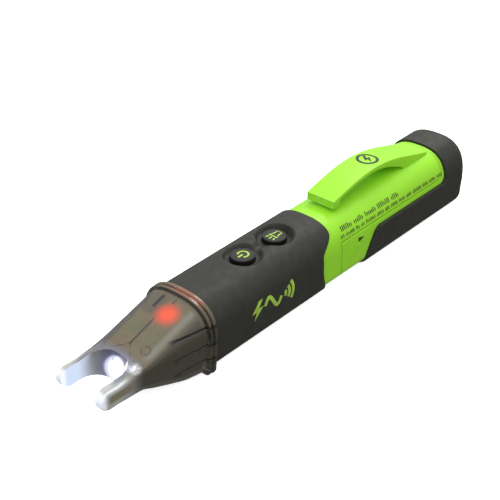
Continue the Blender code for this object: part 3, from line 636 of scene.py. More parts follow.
def tint_flange(paint):
    """Painted shade on the sides, and a flange that is paler on top, with painted shade low down, in its
    groove and in a line in front of it.
    """
    flange = paint.ramp(paint.station, FLANGE_FRONT - 1.6, FLANGE_FRONT - 1.2)
    # painted shade: faces that tilt away from straight up go dark
    paint.overlay(paint.fade(paint.upward, 0.60, 0.86), SMOKE_SIDE_SHADE)
    paint.mark((0.125, 0.098, 0.054), flange, paint.ramp(paint.height, 13.0, 18.0), 0.8)
    # painted shade: the flange darker towards the bottom
    paint.mark(PAINTED_SHADOW, flange, paint.fade(paint.height, 2.5, 6.0, 0.85))
    # painted shade: dark lines in the flange's groove and in the crease in front of it
    for place, half_width, strength in ((1.33, 0.22, 0.7), (-0.15, 0.15, 0.8)):
        groove = paint.line(paint.station, FLANGE_FRONT + place, half_width)
        paint.mark(PAINTED_SHADOW, groove, paint.ramp(paint.height, 8.0, 13.0), strength)


def paint_inner_wall_shadows(paint):
    """Painted shadows: dark lines where the keel, its fork, the boss and the side ribs stand inside the nose.
    """
    station, across = paint.station, paint.across
    paint.mark(PAINTED_SHADOW, paint.line(across, -0.1, 0.10, 0.4), paint.within(station, 18.5, 28.0, 2.0), 0.85)
    for lean in (-1.0, 1.0):
        fork = paint.math("ADD", across, paint.math("MULTIPLY", paint.math("SUBTRACT", station, 18.7), lean))
        stroke = paint.line(fork, -0.1, 0.10, 0.4)
        paint.mark(PAINTED_SHADOW, stroke, paint.within(station, 15.4, 18.9), paint.broken, 0.7)
    boss = paint.line(paint.distance(18.9, -5.6, 14.9), 1.3, 0.12, 0.4)
    paint.mark(PAINTED_SHADOW, boss, paint.broken, 0.75)
    behind = paint.all_of(paint.ramp(station, 23.5, 26.0), paint.ramp(paint.side, 7.0, 8.5))
    for level in RIB_HEIGHTS:
        paint.mark(PAINTED_SHADOW, paint.line(paint.height, level, 0.35, 0.35), behind, 0.85)


def tint_tines(paint):
    """Tines made pale by painted light, with painted shade on the top inside, a brown slot outside, a painted
    highlight along the top edge and tips whitened by painted light.
    """
    station, side, upward = paint.station, paint.side, paint.upward
    # painted light: the tines pale towards their tips
    paint.overlay(paint.fade(station, 6.0, 15.0, 0.85), (0.50, 0.50, 0.47))
    # painted shade: the top inside of each tine dimmer
    inner_top_shade = paint.all_of(paint.fade(side, 7.2, 8.2), paint.ramp(station, 3.5, 8.0),
                             paint.ramp(upward, 0.7, 0.9))
    paint.mark((0.15, 0.16, 0.19), inner_top_shade, paint.fade(station, 13.5, 17.0, 0.9))
    paint.mark((0.25, 0.22, 0.14), paint.line(paint.height, 10.1, 0.7, 0.8),
               paint.within(station, 2.6, 10.5, 1.2), paint.ramp(side, 8.6, 8.9))
    # painted highlight: a bright line along the top outer edge
    paint.mark((0.78, 0.80, 0.82), paint.line(side, 8.45, 0.15, 0.3), paint.fade(station, 7.0, 10.5),
               paint.ramp(upward, 0.3, 0.6))
    # painted light: the tips whitened
    paint.overlay(paint.fade(station, 0.9, 2.2, 0.9), (0.82, 0.84, 0.87))


def light_nose(paint):
    """The lamps' light in the nose: a red spot and rim, and white round the fork's lamp and in the tines."""
    station, across, side = paint.station, paint.across, paint.side
    red = paint.near((30.4, -2.3, 18.9), 0.8, 5.0)
    paint.overlay(red, (0.07, 0.012, 0.006))
    rim = paint.all_of(paint.within(station, FLANGE_FRONT + 0.4, FLANGE_REAR + 0.5),
                       paint.ramp(paint.height, 18.0, 20.0), paint.ramp(across, -9.5, -6.0),
                       paint.ramp(across, -1.0, 5.0, 1.0, 0.15))
    glint = paint.all_of(paint.near((13.2, -7.2, 13.2), 0.2, 2.5),
                         paint.ramp(paint.noise(1.1, 3.0), 0.35, 0.60, 0.35, 1.0))
    inner_face = paint.all_of(paint.fade(side, 6.5, 6.7), paint.fade(paint.upward, 0.3, 0.6),
                              paint.fade(station, 5.0, 11.5))
    paint.glow((paint.near(FLASH_DOME, 2.8, 7.5), (0.045, 0.042, 0.15)),
               (red, (0.85, 0.075, 0.022)),
               (rim, (0.17, 0.028, 0.012)),
               (paint.fade(station, 0.6, 2.4), (0.24, 0.25, 0.28)),
               (inner_face, (0.44, 0.54, 0.78)),
               (paint.near(FLASH_DOME, 3.2, 4.2), (0.70, 0.74, 1.0)),
               (glint, (0.85, 0.87, 0.95)))


def smoky_plastic():
    """Smoked polycarbonate: olive above, painted shade at the sides, tips made pale by painted light, and
    lamp light inside it.
    """
    paint = Smoke()
    tint_nose(paint)
    tint_flange(paint)
    paint_inner_wall_shadows(paint)
    tint_tines(paint)
    light_nose(paint)
    return paint.grained(1.6, 2.0, 0.006, 0.3)


def lamp_glass(name, colour, glow, centre, bright, dark):
    """Clear epoxy that glows round a point, full out to one distance and fading to nothing at another."""
    paint = Paint(name, colour, 0.12)
    paint.vary(patch=1.2, depth=0.05, grain=0.3, rough=0.03)
    paint.set(Coat_Weight=0.5)
    paint.glow((paint.ramp(paint.distance(*centre), bright, dark, 1.0, 0.0), glow))
    return paint.grained(0.5, 2.0, 0.004, 0.3)


def board_laminate():
    """Green solder mask over faint copper tracks."""
    paint = Paint("board_laminate", (0.035, 0.20, 0.075), 0.38)
    wave = paint.nodes.new("ShaderNodeTexWave")
    wave.bands_direction = "Y"
    wave.inputs["Scale"].default_value = 1 / (5.5 * MM)
    wave.inputs["Distortion"].default_value = 6.0
    wave.inputs["Detail"].default_value = 1.0
    wave.inputs["Detail Scale"].default_value = 0.4
    paint.links.new(paint.place, wave.inputs["Vector"])
    tracks = paint.ramp(wave.outputs["Fac"], 0.62, 0.70)
    colour = paint.mix(tracks, (0.030, 0.17, 0.065), (0.07, 0.30, 0.11))
    paint.links.new(colour, paint.shader.inputs["Base Color"])
    paint.links.new(paint.ramp(paint.noise(2.0), 0.3, 0.7, 0.32, 0.46), paint.shader.inputs["Roughness"])
    return paint.bump(tracks, 0.03, 0.6).material


def metal(name, colour, roughness, patch=2.0):
    paint = Paint(name, colour, roughness, metallic=1.0)
    paint.vary(patch=patch, depth=0.10, grain=0.3, rough=0.07)
    return paint.bump(paint.noise(0.4, 4.0, stretch=(0.15, 1, 1)), 0.01, 0.5).material


def moulded(name, colour, roughness, wear=0.2):
    paint = Paint(name, colour, roughness)
    paint.vary(patch=2.0, depth=0.12, grain=0.3, rough=0.07, wear=wear)
    return paint.grained(0.2, 3.0, 0.015, 0.6)


def battery_wrap():
    """A plain dark sleeve with a copper band near each cell's positive end."""
    paint = Paint("battery_wrap", (0.045, 0.047, 0.05), 0.3)
    paint.vary(patch=8.0, depth=0.15, grain=0.5, rough=0.05)
    right = paint.ramp(paint.axis("Y"), -0.1, 0.1)
    low, high = span("battery_left")[0].x + 6.0, span("battery_right")[1].x - 6.0
    centre = paint.math("ADD", paint.math("MULTIPLY", right, high - low), low)
    offset = paint.math("ABSOLUTE", paint.math("SUBTRACT", paint.axis("X"), centre))
    paint.overlay(paint.ramp(offset, 4.8, 5.0, 1.0, 0.0), (0.42, 0.17, 0.06))
    return paint.grained(1.2, 3.0, 0.01, 0.4)


def floor_paint():
    paint = Paint("studio_floor", (0.90, 0.90, 0.90), 0.7)
    paint.vary(patch=60.0, depth=0.01, grain=2.0, rough=0.03)
    paint.set(Emission_Color=(1.0, 1.0, 1.0, 1.0), Emission_Strength=0.75)
    return paint.grained(3.0, 3.0, 0.01, 0.2)


GREEN = green_plastic()
RUBBER = rubber()
BUTTON = button_rubber()
LIME = lime_print()
INK = dark_print()
SMOKE = smoky_plastic()
WHITE_LAMP = lamp_glass("white_lamp", (0.75, 0.78, 0.85), (4.6, 4.8, 5.2), FLASH_DOME, 3.8, 5.6)
RED_LAMP = lamp_glass("red_lamp", (0.30, 0.03, 0.02), (9.0, 0.8, 0.35), LAMP_TOP, 0.6, 2.9)
BOARD = board_laminate()
BLACK = moulded("black_plastic", (0.022, 0.022, 0.023), 0.45)
WHITE = moulded("white_plastic", (0.72, 0.72, 0.69), 0.42)
TAN = moulded("capacitor_body", (0.48, 0.33, 0.16), 0.4)
COPPER = metal("copper_foil", (0.80, 0.46, 0.26), 0.32)
TINNED = metal("tinned_metal", (0.72, 0.72, 0.70), 0.28)
STEEL = metal("spring_steel", (0.58, 0.58, 0.59), 0.25)
WRAP = battery_wrap()
RED_WIRE = moulded("red_insulation", (0.50, 0.02, 0.015), 0.45)
BLACK_WIRE = moulded("black_insulation", (0.02, 0.02, 0.02), 0.45)


# Sections ---------------------------------------------------------------------------------------
def rubber_section(x):
    return section(x, SLEEVE_HALF_WIDTH, SLEEVE_BOTTOM, crown(x), 3.0)


def green_section(x):
    return section(x, GREEN_HALF_WIDTH, GREEN_BOTTOM, crown(x) - PROUD, 2.6)


def core_section(x):
    return inset(rubber_section(x), SLEEVE_WALL + GAP, SLEEVE_FLOOR + GAP, SLEEVE_ROOF + GAP)


def bay_section(x):
    return section(x, BAY_HALF_WIDTH, BAY_FLOOR, crown(x) - PROUD - BAY_ROOF_WALL, 1.8)


def skin_section(x):
    return section(x, SKIN_HIGH.y, 0.0, crown(x), 4.1, draft=0.3)


NOSE_KNOTS = {                # station: half width, bottom, top, corner, power, shoulder, lean
    8.0: (9.2, 6.6, 12.95, 1.2, 5.0, TINE_MIDDLE, 0.0),
    13.5: (9.35, 6.3, 13.5, 1.4, 5.0, TINE_MIDDLE, 0.0),
    18.0: (9.8, 4.7, 14.7, 1.9, 4.0, SHOULDER, 0.02),
    25.0: (10.5, 2.3, 17.1, 2.5, 3.4, SHOULDER, 0.04),
    31.0: (11.2, 0.7, 19.2, 3.0, 3.0, SHOULDER, 0.06),
    NOSE_SHELL_REAR: (11.9, 0.4, 20.9, 3.2, CROWN_POWER, SHOULDER, FLANGE_LEAN),
}


def smooth_table(knots):
    """A function of station through the knots' rows, with slopes that never overshoot."""
    xs = np.array(sorted(knots))
    rows = np.array([knots[x] for x in xs])
    steps = np.diff(xs)[:, None]
    rise = np.diff(rows, axis=0) / steps
    slope = np.zeros_like(rows)
    same_way = rise[1:] * rise[:-1] > 0
    total = np.where(same_way, rise[1:] + rise[:-1], 1)
    slope[1:-1] = np.where(same_way, 2 * rise[1:] * rise[:-1] / total, 0)
    slope[0], slope[-1] = rise[0], rise[-1]

    def value(x):
        index = int(np.clip(np.searchsorted(xs, x) - 1, 0, len(xs) - 2))
        step = xs[index + 1] - xs[index]
        t = (x - xs[index]) / step
        return ((1 + 2 * t) * (1 - t) ** 2 * rows[index] + t * (1 - t) ** 2 * step * slope[index]
                + t * t * (3 - 2 * t) * rows[index + 1] + t * t * (t - 1) * step * slope[index + 1])

    return value


NOSE_SHAPE = smooth_table(NOSE_KNOTS)


def nose_section(x):
    half_width, bottom, top, corner, power, shoulder, lean = NOSE_SHAPE(x)
    return Section(x, half_width, bottom, top, corner, power, shoulder, 0.0, lean)


def tip_sections(wall=0.0, steps=9):
    """Sections of the tines' rounded end, a half circle seen from the side with its front cut flat."""
    radius = TINE_HALF_HEIGHT - wall
    front = math.radians(12)
    places = []
    for angle in np.linspace(front, math.pi / 2, steps):
        half = radius * math.sin(angle)
        x = wall + radius * (math.cos(front) - math.cos(angle))
        side = TINE_OUTER - wall - (radius - half) * 0.22
        places.append(section(x, side, TINE_MIDDLE - half, TINE_MIDDLE + half, half * 0.4, 5.0, TINE_MIDDLE))
    return places


# Nose -------------------------------------------------------------------------------------------
def flange_sections():
    """Two lips with a shallow groove between them; the rear lip is the widest."""
    corner = 1.6
    full = section(FLANGE_FRONT, NOSE_HIGH.y, 0.0, crown(FLANGE_FRONT) + 1.0, corner, lean=FLANGE_LEAN)
    profile = [(0.0, 0.60), (0.08, 0.35), (0.3, 0.14), (0.75, 0.10), (0.95, 0.20), (1.1, 0.50), (1.55, 0.50),
               (1.7, 0.25), (1.85, 0.06), (2.1, 0.0), (2.6, 0.0), (2.8, 0.08), (2.9, 0.3)]
    return [inset(full, depth)._replace(x=FLANGE_FRONT + x, corner=corner) for x, depth in profile]


def spigot_section(x):
    """The nose's plain rear end, which plugs into the sleeve."""
    return section(x, 9.2, 3.6, crown(x) - 4.3, 2.0)


def notch(half_width, base, corner):
    """The fork's gap: a round-cornered U, open towards the tips, that leans back."""
    outline = round_corners([(-20.0, -half_width, 0), (base, -half_width, corner),
                             (base, half_width, corner), (-20.0, half_width, 0)], steps=20)
    mesh = plate(outline, THROUGH)
    mesh.transform(Matrix.Translation((base, 0, TINE_MIDDLE)) @ Matrix.Rotation(NOTCH_TILT, 4, "Y")
                   @ Matrix.Translation((-base, 0, 0)))
    return mesh


def side_grooves(x, y, z):
    """Shallow moulded lines on the nose's sides, in front of the flange."""
    depth = np.zeros_like(x)
    along = np.clip((x - 25.0) / 1.5, 0, 1) * (np.abs(y) > 5.5) * (x < FLANGE_FRONT)
    for height in RIB_HEIGHTS:
        depth += 0.28 * np.exp(-((z - height) / 0.32) ** 4) * along
    return depth


def nose_walls():
    """Cuts in the hollow's shape that leave walls standing: side ribs, a keel under the top and its fork."""
    half = 0.35
    along = (25.2, FLANGE_FRONT + 0.4)
    walls = [block(along, (across - 3.0, across + 3.0), (height - half, height + half))
             for across in (-9.3, 9.3) for height in RIB_HEIGHTS]
    walls.append(block((15.5, 30.0), (-0.4, 0.4), (14.2, 24.0)))
    for side in (-1, 1):
        wall = block((0.0, 8.6), (-half, half), (11.5, 16.0))
        wall.transform(Matrix.Translation((19.0, 0, 0)) @ Matrix.Rotation(side * math.radians(136), 4, "Z"))
        walls.append(wall)
    return [(CUT, wall) for wall in walls]


def nose_hollow():
    """The space inside the nose, from the tines back through the spigot."""
    inside = tip_sections(TINE_WALL, 6)
    inside += [inset(nose_section(x), TINE_WALL) for x in (8.0, 11.0, 13.5)]
    inside += [inset(nose_section(x), NOSE_WALL) for x in steps_between(18.0, 36.0, 3.0)]
    inside += [inset(spigot_section(x), 0.9) for x in (FLANGE_REAR, SPIGOT_REAR + 2)]
    fork_wall = notch(TINE_INNER + TINE_WALL, NOTCH_BASE + NOSE_WALL, NOTCH_CORNER + TINE_WALL)
    return bridge(loft(inside, 96), (CUT, fork_wall), *nose_walls())


def make_nose():
    outer = tip_sections()
    outer += [nose_section(x) for x in steps_between(6.0, NOSE_SHELL_REAR, 0.5)]
    outer += flange_sections()
    outer += [spigot_section(FLANGE_REAR)._replace(lean=FLANGE_LEAN), spigot_section(SPIGOT_REAR)]
    shell = loft(outer, 260, side_grooves, [(height, 0.8, 2.0) for height in RIB_HEIGHTS])
    lamp_height = middle("flashlight_led").z
    bore = rod(LAMP_RADIUS + 0.25, (5.0, 0, lamp_height), (20.0, 0, lamp_height), 64)
    fork_gap = notch(TINE_INNER, NOTCH_BASE, NOTCH_CORNER)
    shell = bridge(shell, (CUT, nose_hollow()), (CUT, fork_gap), (CUT, bore))
    piece("nose_shell", shell, SMOKE, "housing", ["nose_cone"])


# Sleeve -----------------------------------------------------------------------------------------
def smooth_step(value):
    value = np.clip(value, 0.0, 1.0)
    return value * value * (3 - 2 * value)


def dish_share(x, y):
    """1 in the dishes round the buttons, 0 on the crown, with soft rims and a saddle between."""
    keep = np.ones_like(x)
    for station in BUTTONS.values():
        reach = np.hypot(x - station, y)
        keep *= 1 - smooth_step((DISH_RADIUS + 0.2 - reach) / 0.95)
    waist = (BUTTONS["power"] + BUTTONS["light"]) / 2
    saddle = 0.85 * np.exp(-((x - waist) / 2.6) ** 4 - (y / 2.0) ** 2)
    return 1 - keep * (1 - saddle)


def sleeve_sink(x, y, z):
    """How far the crown is pushed down to the floor of the dishes."""
    share = dish_share(x, y) * (z > SHOULDER + 5)
    return share * np.maximum(z - DISH_FLOOR, 0.0)


def rear_sweep(z):
    """How far the sleeve's rear edge is swept forward at a height: an S that is deepest low on the side."""
    return 1.3 * smooth_step((9.5 - z) / 8.0) - 5.5 * smooth_step((19.8 - z) / 6.2)


def sleeve_sweep(x, z):
    """The sweep of the whole sleeve: the flange's lean in front and the S edge at the rear."""
    middle_station = (BUTTONS["power"] + BUTTONS["light"]) / 2
    front = np.clip((middle_station - x) / (middle_station - SLEEVE_FRONT), 0, 1)
    rear = np.clip((x - middle_station) / (SLEEVE_REAR - middle_station), 0, 1)
    return FLANGE_LEAN * np.minimum(0, z - LEAN_HEIGHT) * front + rear_sweep(z) * rear ** 1.7


def button_holes(radius, sides):
    return [(CUT, rod(radius, (station, 0, 14), (station, 0, 26), sides)) for station in BUTTONS.values()]


def make_sleeve():
    rounding = 0.45

    def edge(end, inwards, angle):
        place = rubber_section(end + inwards * rounding * (1 - math.sin(angle)))
        return inset(place, rounding * (1 - math.cos(angle)))

    turn = np.linspace(0, math.pi / 2, 6)
    front = [edge(SLEEVE_FRONT, 1, angle) for angle in turn[::-1]]
    rear = [edge(SLEEVE_REAR, -1, angle) for angle in turn]
    places = front + [rubber_section(x) for x in steps_between(SLEEVE_FRONT + 1, SLEEVE_REAR - 1, 0.4)] + rear
    shell = loft(places, 300, sleeve_sink, sweep=sleeve_sweep)
    inside = [inset(rubber_section(x), SLEEVE_WALL, SLEEVE_FLOOR, SLEEVE_ROOF)
              for x in (SLEEVE_FRONT - 6, SLEEVE_REAR + 6)]
    cuts = [(CUT, loft(inside, 120))] + button_holes(CAP_RADIUS + 0.2, 72)
    piece("grip_sleeve_skin", bridge(shell, *cuts), RUBBER, "housing", ["grip_sleeve"])


# Housing and door -------------------------------------------------------------------------------
def door_outline(gap):
    """Side view of the door: all below the seam, and the whole section behind the housing."""
    seam, rear = SEAM_HEIGHT + gap, HOUSING_REAR - gap
    return round_corners([(DOOR_FRONT - gap, -5.0, 0), (DOOR_FRONT - gap, seam, 0), (rear, seam, SEAM_CORNER),
                          (rear, THROUGH, 0), (TAIL_END + 10, THROUGH, 0), (TAIL_END + 10, -5.0, 0)])


def skin_outline(gap):
    """Side view of the rubber skin: slanted front edge, straight top edge and the tail cap."""
    top, cap = SKIN_TOP_EDGE + gap, CAP_EDGE - gap
    return round_corners([(108.4 - gap, -5.0, 0), (108.6 - gap, 4.0, 5), (113.6 - gap, top, 4),
                          (cap, top, 2.5), (cap, THROUGH, 0), (TAIL_END + 10, THROUGH, 0),
                          (TAIL_END + 10, -5.0, 0)])


def outline_depth(outline, x, z):
    """Distance of points inside a closed side-view outline from its edge."""
    points = np.stack([x.ravel(), z.ravel()], 1)
    nearest = np.full(len(points), 1e9)
    corners = np.array([tuple(p) for p in outline])
    for start, end in zip(corners, np.roll(corners, -1, axis=0)):
        along = end - start
        share = np.clip(((points - start) @ along) / (along @ along), 0, 1)
        reach = np.linalg.norm(points - start - share[:, None] * along, axis=1)
        nearest = np.minimum(nearest, reach)
    return nearest.reshape(x.shape)


def rounded_edge(outline, radius):
    """A sink function that rounds a surface down towards an outline."""
    def sink(x, y, z):
        depth = outline_depth(outline, x, z)
        short = np.clip(radius - depth, 0, radius)
        return radius - np.sqrt(radius ** 2 - short ** 2)
    return sink


def tail_sections(make, end, rounding, front, step):
    """Sections of a body whose end is rounded off, given the function of its plain sections."""
    places = [make(x) for x in steps_between(front, end - rounding, step)]
    for angle in np.linspace(0, math.pi / 2, 13)[1:]:
        step_in = rounding * (1 - math.cos(angle))
        place = make(end - rounding + rounding * math.sin(angle))
        places.append(inset(place, step_in)._replace(corner=max(place.corner - step_in * 0.3, 0.6)))
    return places


SEAM_EDGE = 0.22              # rounding of the green edges along the seam
SEAM_FOCUS = [(SEAM_HEIGHT, 0.5, 6.0)]


def make_housing():
    rear_core = SLEEVE_REAR + GAP
    outer = [core_section(x) for x in (HOUSING_LOW.x, 60.0, 80.0, rear_core - 0.1)]
    outer += [green_section(x) for x in steps_between(rear_core, HOUSING_REAR, 1.0)]

    def sweep(x, z):
        near = np.where(x < rear_core - 1, 0.0, np.clip(1 - (x - rear_core) / 9.0, 0, 1))
        return rear_sweep(z) * near

    seam_line = door_outline(GAP / 2)
    shell = loft(outer, 200, rounded_edge(seam_line, SEAM_EDGE), SEAM_FOCUS, sweep)
    inside = [inset(core_section(x), HOUSING_WALL) for x in (HOUSING_LOW.x - 2, SLEEVE_REAR)]
    inside += [bay_section(DOOR_FRONT), bay_section(HOUSING_REAR + 2)]
    cuts = [(CUT, loft(inside, 120)), (CUT, plate(seam_line, THROUGH, "SIDE"))]
    cuts += button_holes(CAP_RADIUS + GAP, 48)
    for name in ("front", "rear"):
        screw = middle(f"board_screw_{name}")
        post = rod(2.2, (screw.x, 0, BAY_FLOOR), (screw.x, 0, BOARD_LOW.z - GAP), 32)
        pilot = rod(1.1, (screw.x, 0, 5.4), (screw.x, 0, BOARD_HIGH.z), 24)
        cuts += [(ADD, post), (CUT, pilot)]
    tongue_slot = block((144.0, 148.0), (-3.0, 3.0), (18.0, 26.0))
    cuts.append((CUT, tongue_slot))
    piece("housing_shell", bridge(shell, *cuts), GREEN, "housing", ["main_housing"])


def make_door():
    outer = tail_sections(green_section, DOOR_END, TAIL_ROUND - 1.0, DOOR_FRONT + 0.01, 1.0)
    zone = door_outline(-GAP / 2)
    shell = loft(outer, 200, rounded_edge(zone, SEAM_EDGE), SEAM_FOCUS)
    hollow = loft([bay_section(DOOR_FRONT - 6), bay_section(DOOR_END - 1.3)], 120)
    bed_inside = tail_sections(lambda x: inset(green_section(x), SKIN_BED), DOOR_END - SKIN_BED,
                               TAIL_ROUND - 1.2, DOOR_FRONT - 8, 4.0)
    bed = bridge(plate(skin_outline(GAP), THROUGH, "SIDE"), (CUT, loft(bed_inside, 120)))
    shell = bridge(shell, (KEEP, plate(zone, THROUGH, "SIDE")), (CUT, hollow), (CUT, bed))
    piece("door_shell", shell, GREEN, "door", ["battery_door"])


def make_skin():
    edge = skin_outline(0.0)
    outer = tail_sections(skin_section, TAIL_END, TAIL_ROUND, 103.0, 0.8)
    shell = loft(outer, 260, rounded_edge(edge, 0.6), [(SKIN_TOP_EDGE, 0.7, 4.0)])
    inner = tail_sections(lambda x: inset(green_section(x), SKIN_BED - GAP), DOOR_END - SKIN_BED + GAP,
                          TAIL_ROUND - 1.0, DOOR_FRONT - 8, 4.0)
    shell = bridge(shell, (KEEP, plate(edge, THROUGH, "SIDE")), (CUT, loft(inner, 120)))
    piece("door_skin", shell, RUBBER, "door", ["door_overmold"])


# Clip -------------------------------------------------------------------------------------------
CLIP_TIP = CLIP_LOW.x
CLIP_ROOT = CLIP_HIGH.x
CLIP_CREST = (120.5, CLIP_HIGH.z)
CLIP_LIP_REAR = 101.8
CLIP_LIP_BOTTOM = 22.4
CLIP_TIP_TOP = 24.9
CLIP_SEAT = 135.5             # from here back the arm sits on the housing's roof
CLIP_FALL = 1.3               # how late the top line falls from its crest to the root


def arch_height(x, start, crest, end, fall=1.0):
    """Height of an arch that rises from its start to a level crest and falls to its end."""
    low, power = (start, 1.0) if x < crest[0] else (end, fall)
    share = max((x - low[0]) / (crest[0] - low[0]), 0.0)
    return low[1] + (crest[1] - low[1]) * math.sin(share * math.pi / 2) ** power


def arch(start, crest, end, steps, fall=1.0):
    """Points along an arch, with the same number of steps before and after its crest."""
    stations = list(np.linspace(start[0], crest[0], steps, endpoint=False))
    stations += list(np.linspace(crest[0], end[0], steps + 1))
    return [(x, arch_height(x, start, crest, end, fall)) for x in stations]


def clip_arch():
    """Start, crest and end of the clip's top line."""
    return (CLIP_TIP, CLIP_TIP_TOP), CLIP_CREST, (CLIP_ROOT, crown(CLIP_ROOT) - PROUD + 0.42)


def make_clip():
    root_roof = crown(CLIP_ROOT) - PROUD
    skirt = root_roof - 1.4
    under = arch((CLIP_LIP_REAR + 1.4, CLIP_LIP_BOTTOM + 2.2), (CLIP_CREST[0] - 1.5, CLIP_CREST[1] - 1.6),
                 (CLIP_SEAT, crown(CLIP_SEAT) - PROUD + 0.1), 20)
    outline = arch(*clip_arch(), 32, fall=CLIP_FALL) + [(CLIP_ROOT, skirt), (CLIP_SEAT, skirt)]
    outline += under[::-1] + [(CLIP_LIP_REAR, CLIP_LIP_BOTTOM), (CLIP_TIP, CLIP_LIP_BOTTOM)]
    arm = plate(outline, 2 * CLIP_HIGH.y, "SIDE", 0.4)
    clearances = ((CLIP_SEAT - 10, 0.1), (CLIP_ROOT, 0.26), (CLIP_ROOT + 5, 0.26))
    roof = loft([inset(green_section(x), -clearance) for x, clearance in clearances], 200)
    tongue = block((144.8, 147.2), (-2.5, 2.5), (root_roof - 2.0, root_roof + 0.4))
    arm = bridge(arm, (CUT, roof), (ADD, tongue))
    piece("clip_arm", arm, GREEN, "clip", ["pocket_clip"])


# Printed and moulded marks ----------------------------------------------------------------------
def ribbon(points, width):
    """Outline of a line of even width through points."""
    line = [Vector(point) for point in points]
    left, right = [], []
    for index, here in enumerate(line):
        before, after = line[max(index - 1, 0)], line[min(index + 1, len(line) - 1)]
        along = (after - before).normalized()
        across = Vector((-along.y, along.x)) * (width / 2)
        left.append(here + across)
        right.append(here - across)
    return left + right[::-1]


def circle_arc(centre, radius, start, end, steps=28):
    """Points on an arc between two angles in degrees."""
    angles = np.radians(np.linspace(start, end, steps))
    return [(centre[0] + radius * math.cos(a), centre[1] + radius * math.sin(a)) for a in angles]


def bolt_outline(x, y, width, height):
    """A lightning bolt whose box has its lower left corner at (x, y)."""
    shape = [(0.62, 1.0), (0.05, 0.44), (0.42, 0.44), (0.22, 0.0), (0.95, 0.60), (0.55, 0.60), (0.92, 1.0)]
    return [(x + width * u, y + height * v) for u, v in shape]


def side_at(place, height):
    """Half width of a section at a height."""
    rise = max(0.0, (height - place.shoulder) / (place.top - place.shoulder))
    return place.half_width * (1 - rise ** place.power) ** (1 / place.power)


def cut_into_strips(mesh, axis, step):
    """Cut a flat mesh across an axis so that it can be bent smoothly."""
    shape = bmesh.new()
    shape.from_mesh(mesh)
    places = [vert.co[axis] for vert in shape.verts]
    direction = Vector([float(index == axis) for index in range(3)])
    for place in np.arange(min(places) + step * 0.37, max(places), step):
        everything = shape.verts[:] + shape.edges[:] + shape.faces[:]
        bmesh.ops.bisect_plane(shape, geom=everything, plane_co=direction * place, plane_no=direction)
    shape.to_mesh(mesh)
    shape.free()
    return mesh


def lay_on_side(mesh, make_place, side=-1):
    """Bend a flat mesh of (station, height, depth) on to a body's side."""
    for vert in cut_into_strips(mesh, 1, 0.25).vertices:
        x, height, depth = vert.co
        half = side_at(make_place(x), height)
        fall = half - side_at(make_place(x), height + 0.05)
        normal = Vector((0.05, fall)).normalized()
        vert.co = (x, side * (half + depth * normal.x), height + depth * normal.y)
    return mesh


def print_plates(outlines, thickness=0.10, proud=0.035):
    """Flat plates whose faces stand a little proud of the surface that they are printed on."""
    return joined([plate(points, thickness, offset=(0, 0, proud - thickness / 2)) for points in outlines])


def make_sleeve_graphic():
    """A bolt, a sine wave and three arcs: the sign for sensing an alternating voltage at a distance."""
    low, high = 7.9, 13.7
    middle_height = (low + high) / 2
    wave = [(59.4 + 7.2 * share, middle_height + 2.0 * math.sin(2 * math.pi * share))
            for share in np.linspace(0, 1, 40)]
    outlines = [bolt_outline(53.6, low, 5.4, high - low), ribbon(wave, 1.2)]
    for radius in (1.5, 3.2, 4.9):
        outlines.append(ribbon(circle_arc((67.0, middle_height), radius, -36, 36), 1.1))
    mesh = lay_on_side(print_plates(outlines), rubber_section)
    piece("sleeve_graphic", mesh, LIME, "housing")


TICK_ROWS = [                 # start, end, lower edge, height, pitch
    (97.2, 127.0, 17.3, 1.35, 0.80),
    (96.2, 148.0, 15.4, 1.05, 0.62),
]


def make_small_print():
    """Two rows of fine ticks in place of the small print; they spell nothing."""
    dice = random.Random(5)
    outlines = []
    for start, end, low, height, pitch in TICK_ROWS:
        x = start
        while x < end:
            for _ in range(dice.randint(3, 8)):
                tall = height * dice.choice((0.7, 1.0, 1.0))
                thick = pitch * dice.uniform(0.44, 0.58)
                outlines.append([(x, low), (x + thick, low), (x + thick, low + tall), (x, low + tall)])
                x += pitch
            x += pitch * 1.1
    mesh = lay_on_side(print_plates(outlines, 0.08, 0.03), green_section)
    piece("small_print_ticks", mesh, INK, "housing")


def make_clip_mark():
    """A plain ring with a bolt on the clip's crest."""
    centre = (123.0, 0.2)
    ring = ribbon(circle_arc(centre, 3.2, 1, 359, 72), 0.95)
    mesh = print_plates([ring, bolt_outline(centre[0] - 1.6, centre[1] - 2.3, 3.5, 4.6)], 0.10, 0.04)
    for vert in cut_into_strips(mesh, 0, 0.5).vertices:
        vert.co.z += arch_height(vert.co.x, *clip_arch(), fall=CLIP_FALL)
    piece("clip_mark", mesh, INK, "clip")


def make_door_relief():
    """A raised arrow and grip bars on the door's side, which show the way it slides."""
    arrow = [(104.4, 11.1), (107.0, 11.8), (104.4, 12.5)]
    bars = [ribbon([(98.8 + 2.0 * step, 7.4), (100.8 + 2.0 * step, 10.6)], 0.7) for step in range(3)]
    bars_mesh = lay_on_side(print_plates(bars, 0.5, 0.22), green_section)
    piece("door_grip_bars", bars_mesh, GREEN, "door")
    arrow_mesh = lay_on_side(print_plates([arrow], 0.5, 0.18), green_section)
    piece("door_arrow", arrow_mesh, INK, "door")


def power_icon(x):
    ring = ribbon(circle_arc((x + 0.3, 0.0), 1.55, -135, 135), 0.6)
    return [ring, ribbon([(x - 1.9, 0.0), (x + 0.1, 0.0)], 0.6)]


def light_icon(x):
    """A torch with three rays in front of it."""
    torch = [(x + 2.6, -0.85), (x + 0.8, -0.85), (x - 0.5, -1.6), (x - 0.5, 1.6), (x + 0.8, 0.85),
             (x + 2.6, 0.85), (x + 2.6, -0.80)]
    rays = [ribbon([(x - 1.2, 1.1 * step), (x - 2.4, 1.5 * step)], 0.45) for step in (-1, 0, 1)]
    return [ribbon(torch, 0.5)] + rays


